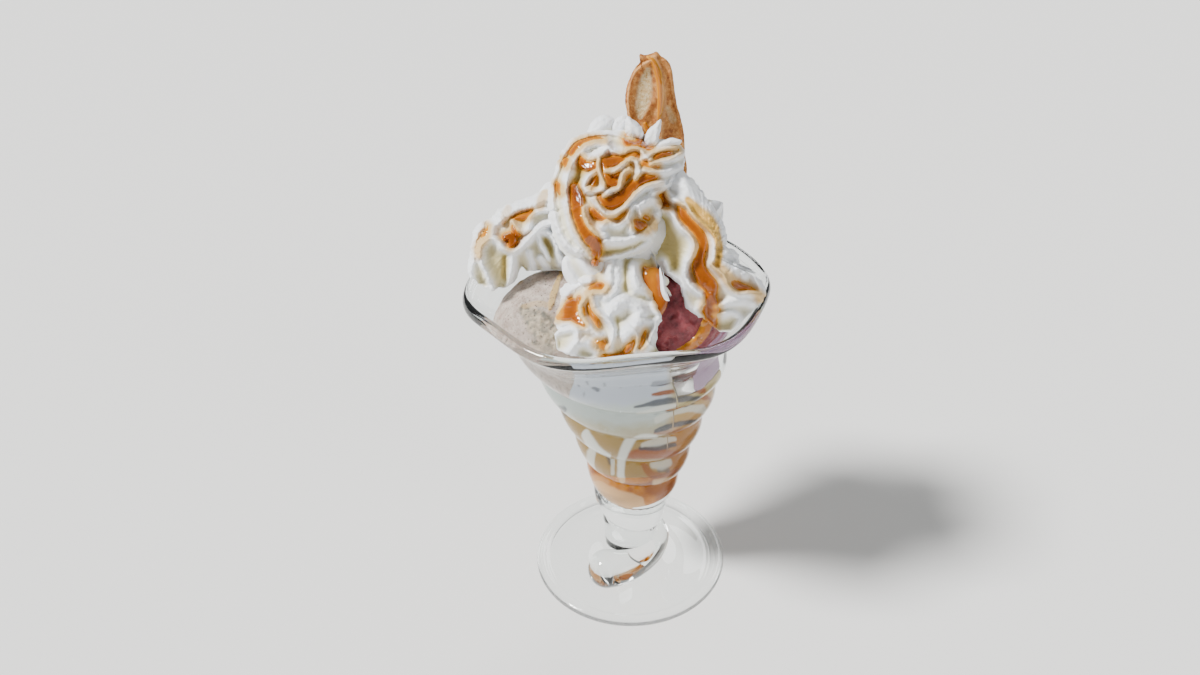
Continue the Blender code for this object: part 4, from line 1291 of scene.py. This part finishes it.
def caramel_in_glass():
    """Caramel at the bottom, amber, with melted vanilla let down into it and painted highlights
    on it.
    """
    r = Recipe("caramel with melted vanilla", "C8782C", **{
        "Roughness": 0.5, "Specular IOR Level": 0.0})
    swirl = r.add("TexNoise", "Fac", {
        "Vector": r.place, "Scale": per(9.0), "Detail": 3.0, "Roughness": 0.5,
        "Distortion": 0.8})
    amber = r.add("ValToRGB", "Color", {"Fac": swirl}, ((0.35, "8A4A04"), (0.60, "B06C14")))
    # the pale streaks are partly melted cream, partly painted highlights of the glass's ridges
    r.set(r.shader, {"Base Color": r.coloured(amber, amber="703402", milk="C8A274")})
    return r.mat


def vanilla_ice():
    """Vanilla ice cream pressed on glass: cool and pale above, with small pitted spots
    painted dark as their shade, and melted below, where it is tinted by the caramel that runs
    through it; painted highlights and painted dark gaps lie over it."""
    r = Recipe("vanilla ice cream", "D8DCE0", **{
        "Roughness": 0.5, "Specular IOR Level": 0.0})
    side, up = (r.add("SeparateXYZ", axis, {"Vector": r.place}) for axis in "XZ")
    wave = r.add("TexNoise", "Fac", {
        "Vector": r.place, "Scale": per(8.0), "Detail": 3.0, "Roughness": 0.55})
    wander = r.add("Math", 0, {0: wave, 1: 0.008}, operation="MULTIPLY")
    height = r.add("Math", 0, {0: up, 1: wander}, operation="ADD")
    level = r.add("MapRange", "Result", {"Value": height, "From Min": 0.066,
                                         "From Max": 0.124})
    pale = r.add("ValToRGB", "Color", {"Fac": level}, (
        (0.10, "8C6E3A"), (0.50, "8C7240"), (0.66, "A09C84"), (0.72, "ABB3AE"),
        (0.90, "AEB8B4"), (0.96, "B2B9C4")))
    tan = r.add("ValToRGB", "Color", {"Fac": level}, (
        (0.0, "88521A"), (0.45, "946424"), (0.62, "A67E44"), (0.85, "AC9A66")))
    right = r.add("MapRange", "Result", {"Value": side, "From Min": 0.017,
                                         "From Max": 0.021})
    base = r.add("Mix", 2, {0: right, 6: pale, 7: tan}, data_type="RGBA")
    # the pale strokes are partly painted highlights, the near-black ones painted shade and dark
    # reflections, the dark grey dots painted shade in small pits
    base = r.coloured(base, amber="804004", slate="30343E", milk="C6C6BC", pits="565A62",
                    open="E6E2D6")
    churned = r.add("TexNoise", "Fac", {
        "Vector": r.place, "Scale": per(2.0), "Detail": 5.0, "Roughness": 0.55})
    return r.finished(base, churned, 0.2, 0.4)


def speckled_ice():
    """Churned ice cream with ground nuts: dry, beige, with dark specks."""
    r = Recipe("speckled ice cream", "B5A798", **{
        "Roughness": 0.6, "Subsurface Weight": 0.12, "Subsurface Scale": 0.0012})
    lumps, dots, grain = (
        r.add("TexNoise", "Fac", {"Vector": r.place, "Scale": per(size), "Detail": detail,
                                  "Roughness": rough})
        for size, detail, rough in ((3.5, 7.0, 0.75), (0.8, 2.0, 0.5), (0.8, 6.0, 0.7)))
    plain = r.add("ValToRGB", "Color", {"Fac": lumps}, (
        (0.32, "8A7668"), (0.48, "AC9C90"), (0.66, "C8BAAC")))
    high = r.add("Attribute", "Fac", attribute_name="high")
    coarse = r.add("ValToRGB", "Color", {"Fac": high}, (
        (0.20, "5E5C50"), (0.42, "8C8270"), (0.62, "B4A48C"), (0.85, "CCC0AC")))
    base = r.coloured(plain, crystals=coarse, scrape="B89A66")
    specks = r.add("ValToRGB", "Color", {"Fac": dots}, ((0.30, "5A4C38"), (0.40, "FFFFFF")))
    base = r.add("Mix", 2, {0: 0.8, 6: base, 7: specks}, data_type="RGBA",
                 blend_type="MULTIPLY")
    return r.finished(base, grain, 0.5, 0.9)


def berry_sorbet():
    """Dark fruit sorbet, moist; where it melts on the glass it turns lilac."""
    r = Recipe("berry sorbet", "7A3136", **{
        "Roughness": 0.38, "Subsurface Weight": 0.15, "Subsurface Scale": 0.0015,
        "Subsurface Radius": (1.0, 0.3, 0.3)})
    lumps, grain = (
        r.add("TexNoise", "Fac", {"Vector": r.place, "Scale": per(size), "Detail": detail,
                                  "Roughness": rough})
        for size, detail, rough in ((5.0, 7.0, 0.72), (1.3, 6.0, 0.7)))
    base = r.add("ValToRGB", "Color", {"Fac": lumps}, (
        (0.3, "4C141A"), (0.48, chosen().berry_colour), (0.68, "9C484A")))
    return r.finished(r.coloured(base, pressed="A98CA8"), grain, 0.7, 0.9)


def baked_wafer():
    """Thin baked batter: pale in the hollow, toasted beside its rims, crumbly."""
    r = Recipe("baked wafer", "C58C50", **{"Roughness": 0.62})
    scorch, bubbles, crumb = (
        r.add("TexNoise", "Fac", {"Vector": r.place, "Scale": per(size), "Detail": 6.0,
                                  "Roughness": rough})
        for size, rough in ((2.0, 0.78), (1.3, 0.78), (0.9, 0.75)))
    toast = r.add("ValToRGB", "Color", {"Fac": scorch}, (
        (0.32, "763A10"), (0.44, "AE6826"), (0.56, "CB8C46"), (0.70, "DCAE72")))
    pale = r.add("ValToRGB", "Color", {"Fac": bubbles}, (
        (0.32, "8A5C28"), (0.44, "C4A068"), (0.60, "DCCBA2")))
    relief = r.add("Attribute", "Fac", attribute_name="relief")
    rim = r.add("ValToRGB", "Color", {"Fac": relief}, ((0.78, "000000"), (0.95, "909090")))
    base = r.add("Mix", 2, {0: rim, 6: r.coloured(toast, hollow=pale), 7: "E0B27E"},
                 data_type="RGBA")
    return r.finished(base, crumb, 0.5, 0.9)


def matte_paper():
    """Uncoated paper for the floor: pale, matt, faintly uneven."""
    colour = bpy.context.scene.sundae_stage.floor_colour
    r = Recipe("matte paper", colour, Roughness=0.9)
    uneven = r.add("TexNoise", "Fac", {
        "Vector": r.place, "Scale": per(30.0), "Detail": 2.0, "Roughness": 0.55})
    return r.finished(linear(colour), uneven, 0.05, 0.1)


# ------------------------------------------------------------------ sizes
class SundaeSettings(bpy.types.PropertyGroup):
    """Sizes of the sundae that a user would change"""
    ridge_depth: bpy.props.FloatProperty(
        name="Ridge depth", description="Depth of the spiral ridge in the glass",
        default=0.0015, unit="LENGTH", subtype="DISTANCE")
    groove_depth: bpy.props.FloatProperty(
        name="Groove depth",
        description="Depth of the grooves in the cream behind, as a part of its radius",
        default=0.36, min=0.0, max=0.6, subtype="FACTOR")
    sauce_rise: bpy.props.FloatProperty(
        name="Sauce rise",
        description="How much higher than drawn the caramel stands on the cream",
        default=0.0, unit="LENGTH", subtype="DISTANCE")
    glass_tint: bpy.props.FloatVectorProperty(
        name="Glass tint", description="Colour of the glass, white for clear", subtype="COLOR",
        size=4, min=0.0, max=1.0, default=linear("FAFDFC"))
    cream_colour: bpy.props.FloatVectorProperty(
        name="Cream", description="Colour of the crests of the whipped cream", subtype="COLOR",
        size=4, min=0.0, max=1.0, default=linear("F4F6F8"))
    caramel_colour: bpy.props.FloatVectorProperty(
        name="Caramel", description="Colour of the caramel where it lies 2 mm thick",
        subtype="COLOR", size=4, min=0.0, max=1.0, default=linear("9C5002"))
    berry_colour: bpy.props.FloatVectorProperty(
        name="Berry", description="Middle colour of the berry scoop", subtype="COLOR",
        size=4, min=0.0, max=1.0, default=linear("7E3038"))


class StageSettings(bpy.types.PropertyGroup):
    """Floor and light round the sundae"""
    floor_size: bpy.props.FloatProperty(
        name="Floor size", description="Width of the floor", default=80.0,
        unit="LENGTH", subtype="DISTANCE")
    floor_colour: bpy.props.FloatVectorProperty(
        name="Floor", description="Colour of the floor", subtype="COLOR",
        size=4, min=0.0, max=1.0, default=linear("E9E8E5"))
    key_strength: bpy.props.FloatProperty(
        name="Key light", description="Strength of the main soft light, W/m2", default=7.4,
        min=0.0)
    fill_strength: bpy.props.FloatProperty(
        name="Fill light", description="Strength of the light opposite, W/m2", default=0.42,
        min=0.0)


# -------------------------------------------------------------- operators
class SUNDAE_OT_glass(bpy.types.Operator):
    """Adds the pressed glass: foot, curl, stem, bowl and lip in one body"""
    bl_idname = "sundae.glass"
    bl_label = "Glass"

    def execute(self, context):
        mat = pressed_glass()
        depth = chosen().ridge_depth / MM
        bowl = piece("sundae_glass", bowl_rings(depth), mat)
        foot = piece("foot", foot_rings(), mat)
        curl = piece("curl", curl_rings(), mat)
        joined(bowl, [foot, curl])
        bowl.data.shade_smooth()
        bowl.data.set_sharp_from_angle(angle=radians(40))
        bowl.visible_shadow = False         # clear glass lets the light through,
        bowl.visible_diffuse = False        # and once only
        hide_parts("glass")
        return {"FINISHED"}


class SUNDAE_OT_fillings(bpy.types.Operator):
    """Adds the caramel at the bottom of the bowl and the vanilla above it"""
    bl_idname = "sundae.fillings"
    bl_label = "Fillings"

    def execute(self, context):
        rings = filling_rings(None, caramel_top, around=240, up=70, across=40)
        pool = piece("caramel_in_bowl", rings, caramel_in_glass(),
                     attributes={name: painted(rings, strokes)
                                 for name, strokes in CONTENTS.items()})
        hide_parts("caramel_pool")
        rings = filling_rings(lambda x, y: caramel_top(x, y) + 0.05, vanilla_top, around=300,
                              up=170, across=60)
        free = (smooth(0.8, 2.5, inner_radius(rings[..., 2])
                       - np.hypot(rings[..., 0] - centre_x(rings[..., 2]), rings[..., 1]))
                * smooth(118, 124, rings[..., 2]))
        rings[..., 2] += free * (0.9 * noise(rings, 5.0, 46, 3) + 0.7 * noise(rings, 1.8, 47, 3))
        marks = {name: painted(rings, strokes) * (1 - free) for name, strokes in CONTENTS.items()}
        vanilla = piece("vanilla_filling", rings, vanilla_ice(),
                        attributes={"open": free, **marks})
        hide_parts("vanilla_ice_cream")
        return {"FINISHED"}


class SUNDAE_OT_scoops(bpy.types.Operator):
    """Adds the speckled scoop and the berry scoop with its melt"""
    bl_idname = "sundae.scoops"
    bl_label = "Scoops"

    def execute(self, context):
        centre, radius = LEFT_SCOOP
        rings, ball = ball_rings(centre, (radius,) * 3, 320, 210)
        crystals = drawn_on(rings, ball, MARKS["crystals"])
        scrape = drawn_on(rings, ball, MARKS["scrape"])
        crumbs = noise(rings, 1.5, 4, 3)
        rough = (0.7 * noise(rings, 9.0, 3, 2) + 0.16 * crumbs
                 + crystals * (0.9 * np.abs(crumbs) + 0.5 * noise(rings, 3.2, 6, 2) - 0.4)
                 + 0.8 * scrape * (0.6 + 0.5 * noise(rings, 1.6, 8, 2)))
        rings, _ = held_in_glass(rings + ball * rough[..., None])
        left = piece("speckled_scoop_ice", rings, speckled_ice(),
                     attributes={"crystals": crystals, "scrape": scrape,
                                 "high": 0.5 + 0.5 * np.clip(crumbs, -1, 1)})
        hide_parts("speckled_scoop")

        centre, radius = RIGHT_SCOOP
        berry = berry_sorbet()
        rings, ball = ball_rings(centre, (radius,) * 3, 280, 180)
        rough = (0.8 * noise(rings, 8.0, 13, 2) + 0.55 * noise(rings, 1.9, 14, 3)
                 - 0.9 * smooth(0.3, 0.75, noise(rings, 3.0, 16, 2))
                 + 0.5 * noise(rings, 4.0, 17, 3))
        free = rings + ball * rough[..., None]
        rings, pressed = held_in_glass(free)
        right = piece("berry_scoop_ice", rings, berry, attributes={"pressed": pressed})
        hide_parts("berry_scoop")
        lift = 2.6 * drawn_on(free, ball, MARKS["caramel_on_berry"], edge=(0.4, 1.4)) - 1.0
        caramel_sheet("caramel_on_berry", held_in_glass(free + ball * lift[..., None])[0],
                      held_in_glass(free - ball * 1.2)[0], lift, -0.6, caramel_sauce())
        for name, melt in (("berry_melt", RIGHT_MELT), ("berry_melt_front", FRONT_MELT)):
            rings, ball = ball_rings(*melt, 160, 100)
            rings, pressed = held_in_glass(
                rings + ball * 0.5 * noise(rings, 5.0, 19, 2)[..., None])
            piece(name, rings, berry, attributes={"pressed": pressed})
        return {"FINISHED"}


def cream_heaps():
    """The drawn heaps and petals of cream, each built once and kept for its sauce."""
    if not HEAPS_BUILT:
        for seed, (name, drawn) in enumerate(HEAPS.items()):
            heap = Heap(seed=11 + seed, **drawn)
            around, along = (400, 240) if name == "rosette" else (350, 210)
            HEAPS_BUILT[name] = heap, *heap.build(around, along)
        for seed, (name, drawn) in enumerate(PETALS.items()):
            heap = Heap(seed=30 + seed, **drawn)
            rings, relief = heap.build(100, 70)
            # the petals' relief starts at 0.15, so the cream's painted groove shade darkens their
            # grooves too, but not to its darkest colour
            HEAPS_BUILT[name] = heap, rings, 0.15 + 0.85 * relief
    return HEAPS_BUILT


HEAPS_BUILT = {}


class SUNDAE_OT_cream(bpy.types.Operator):
    """Adds the whipped cream: rosette, folded ribbons, petals and the heap behind"""
    bl_idname = "sundae.cream"
    bl_label = "Whipped cream"

    def execute(self, context):
        mat = whipped_cream()
        # relief carries the painted groove shade of the cream
        for name, (heap, rings, relief) in cream_heaps().items():
            obj = piece("cream_" + name, rings, mat,
                        attributes={"relief": np.clip(relief, 0, 1), "stain": heap.stain()})
            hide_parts("whipped_cream")
        depth = chosen().groove_depth
        forms = [Ribbon(points, depth, phase=n + 2.0, seed=15 + n)
                 for n, points in enumerate(BACK_RIBBONS)]
        forms.append(Dome(*BACK_CURL, depth, seed=14))
        for n, form in enumerate(forms):
            rings, high = piped_rings(form, 160, 220)
            obj = piece("cream_behind_%d" % (n + 1), rings, mat,
                        attributes={"relief": high})
            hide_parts("whipped_cream")
        rings, ball = ball_rings(*CORE, 160, 100)
        rings = rings + ball * noise(rings, 8.0, 21, 3)[..., None]
        obj = piece("cream_core", rings, mat,
                    attributes={"relief": np.ones(rings.shape[:2]) * 0.6})
        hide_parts("whipped_cream")
        return {"FINISHED"}


def sauced(name, heap, mat):
    """The sauce that lies on a drawn heap, as one closed sheet."""
    lift = heap.sauce_lift()
    return caramel_sheet(name, heap.surface(lift), heap.surface(-1.0), lift, -0.25, mat)


class SUNDAE_OT_sauce(bpy.types.Operator):
    """Adds the caramel that lies in the grooves of the cream"""
    bl_idname = "sundae.sauce"
    bl_label = "Caramel sauce"

    def execute(self, context):
        mat = caramel_sauce()
        for name, (heap, rings, relief) in cream_heaps().items():
            if heap.sauce:
                obj = sauced("caramel_on_" + name, heap, mat)
                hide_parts("whipped_cream")
        for n, (name, drawn) in enumerate(POOLS.items()):
            rings, _ = Heap(seed=60 + n, **drawn).build(110, 70)
            rings, _ = held_in_glass(rings)
            piece(name, rings, mat,
                  attributes={"thick": 2.0 + 1.6 * noise(rings, 6.0, 48, 2)})
        return {"FINISHED"}


class SUNDAE_OT_wafer(bpy.types.Operator):
    """Adds the thin baked wafer that stands behind the rosette"""
    bl_idname = "sundae.wafer"
    bl_label = "Wafer"

    def execute(self, context):
        leaf = Heap(seed=51, **LEAF)
        rings, relief = leaf.build(260, 170)
        rough = 0.16 * noise(rings, 1.3, 52, 3) + 0.25 * noise(rings, 4.0, 53, 2)
        rings = rings + rough[..., None] * AHEAD
        wafer = piece("crisp_wafer", rings, baked_wafer(),
                      attributes={"relief": relief, "hollow": leaf.stain(soak=0.0)})
        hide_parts("wafer")
        sauced("caramel_on_wafer", leaf, caramel_sauce())
        return {"FINISHED"}


class SUNDAE_OT_stage(bpy.types.Operator):
    """Adds the floor, the lights and the camera"""
    bl_idname = "sundae.stage"
    bl_label = "Stage"

    def execute(self, context):
        stage = context.scene.sundae_stage
        half = stage.floor_size / 2
        mesh = bpy.data.meshes.new("floor")
        mesh.from_pydata([(-half, -half, 0), (half, -half, 0), (half, half, 0),
                          (-half, half, 0)], [], [(0, 1, 2, 3)])
        mesh.materials.append(matte_paper())
        floor = bpy.data.objects.new("floor", mesh)
        context.scene.collection.objects.link(floor)

        def lamp(name, place, angle, strength):
            light = bpy.data.lights.new(name, "SUN")
            light.angle, light.energy = radians(angle), strength
            obj = bpy.data.objects.new(name, light)
            obj.location = place
            obj.rotation_euler = Vector(place).to_track_quat("Z", "Y").to_euler()
            context.scene.collection.objects.link(obj)

        lamp("key", (-0.50, -0.12, 0.60), 13, stage.key_strength)
        lamp("fill", (0.60, -0.48, 0.33), 24, stage.fill_strength)
        lamp("back", (0.28, 0.64, 0.53), 24, stage.fill_strength * 2)
        world = bpy.data.worlds.new("soft studio")
        world.use_nodes = True
        back = world.node_tree.nodes["Background"]
        back.inputs["Color"].default_value = linear("D5D9DC")
        back.inputs["Strength"].default_value = 0.36
        context.scene.world = world

        data = bpy.data.cameras.new("camera")
        data.sensor_width = SENSOR
        data.lens = FOCAL / IMAGE_WIDTH * SENSOR
        data.clip_start = 0.01
        camera = bpy.data.objects.new("camera", data)
        turn = Matrix((RIGHT, UP, -AHEAD)).transposed().to_4x4()
        camera.matrix_world = Matrix.Translation(Vector(EYE) * MM) @ turn
        context.scene.collection.objects.link(camera)
        context.scene.camera = camera
        return {"FINISHED"}


class SUNDAE_PT_panel(bpy.types.Panel):
    """Lists the pieces in the 3D view's sidebar"""
    bl_label = "Sundae"
    bl_space_type = "VIEW_3D"
    bl_region_type = "UI"
    bl_category = "Sundae"

    def draw(self, context):
        for group in (context.scene.sundae, context.scene.sundae_stage):
            for name in group.__annotations__:
                self.layout.prop(group, name)
        for operator in OPERATORS:
            self.layout.operator(operator.bl_idname)


OPERATORS = (SUNDAE_OT_glass, SUNDAE_OT_fillings, SUNDAE_OT_scoops, SUNDAE_OT_cream,
             SUNDAE_OT_sauce, SUNDAE_OT_wafer, SUNDAE_OT_stage)
CLASSES = (SundaeSettings, StageSettings) + OPERATORS + (SUNDAE_PT_panel,)


def register():
    for cls in CLASSES:
        bpy.utils.register_class(cls)
    bpy.types.Scene.sundae = bpy.props.PointerProperty(type=SundaeSettings)
    bpy.types.Scene.sundae_stage = bpy.props.PointerProperty(type=StageSettings)


def unregister():
    del bpy.types.Scene.sundae_stage
    del bpy.types.Scene.sundae
    for cls in reversed(CLASSES):
        bpy.utils.unregister_class(cls)


def main():
    register()
    bpy.ops.sundae.glass()
    bpy.ops.sundae.fillings()
    bpy.ops.sundae.scoops()
    bpy.ops.sundae.cream()
    bpy.ops.sundae.sauce()
    bpy.ops.sundae.wafer()
    bpy.ops.sundae.stage()


if __name__ == "__main__":
    main()
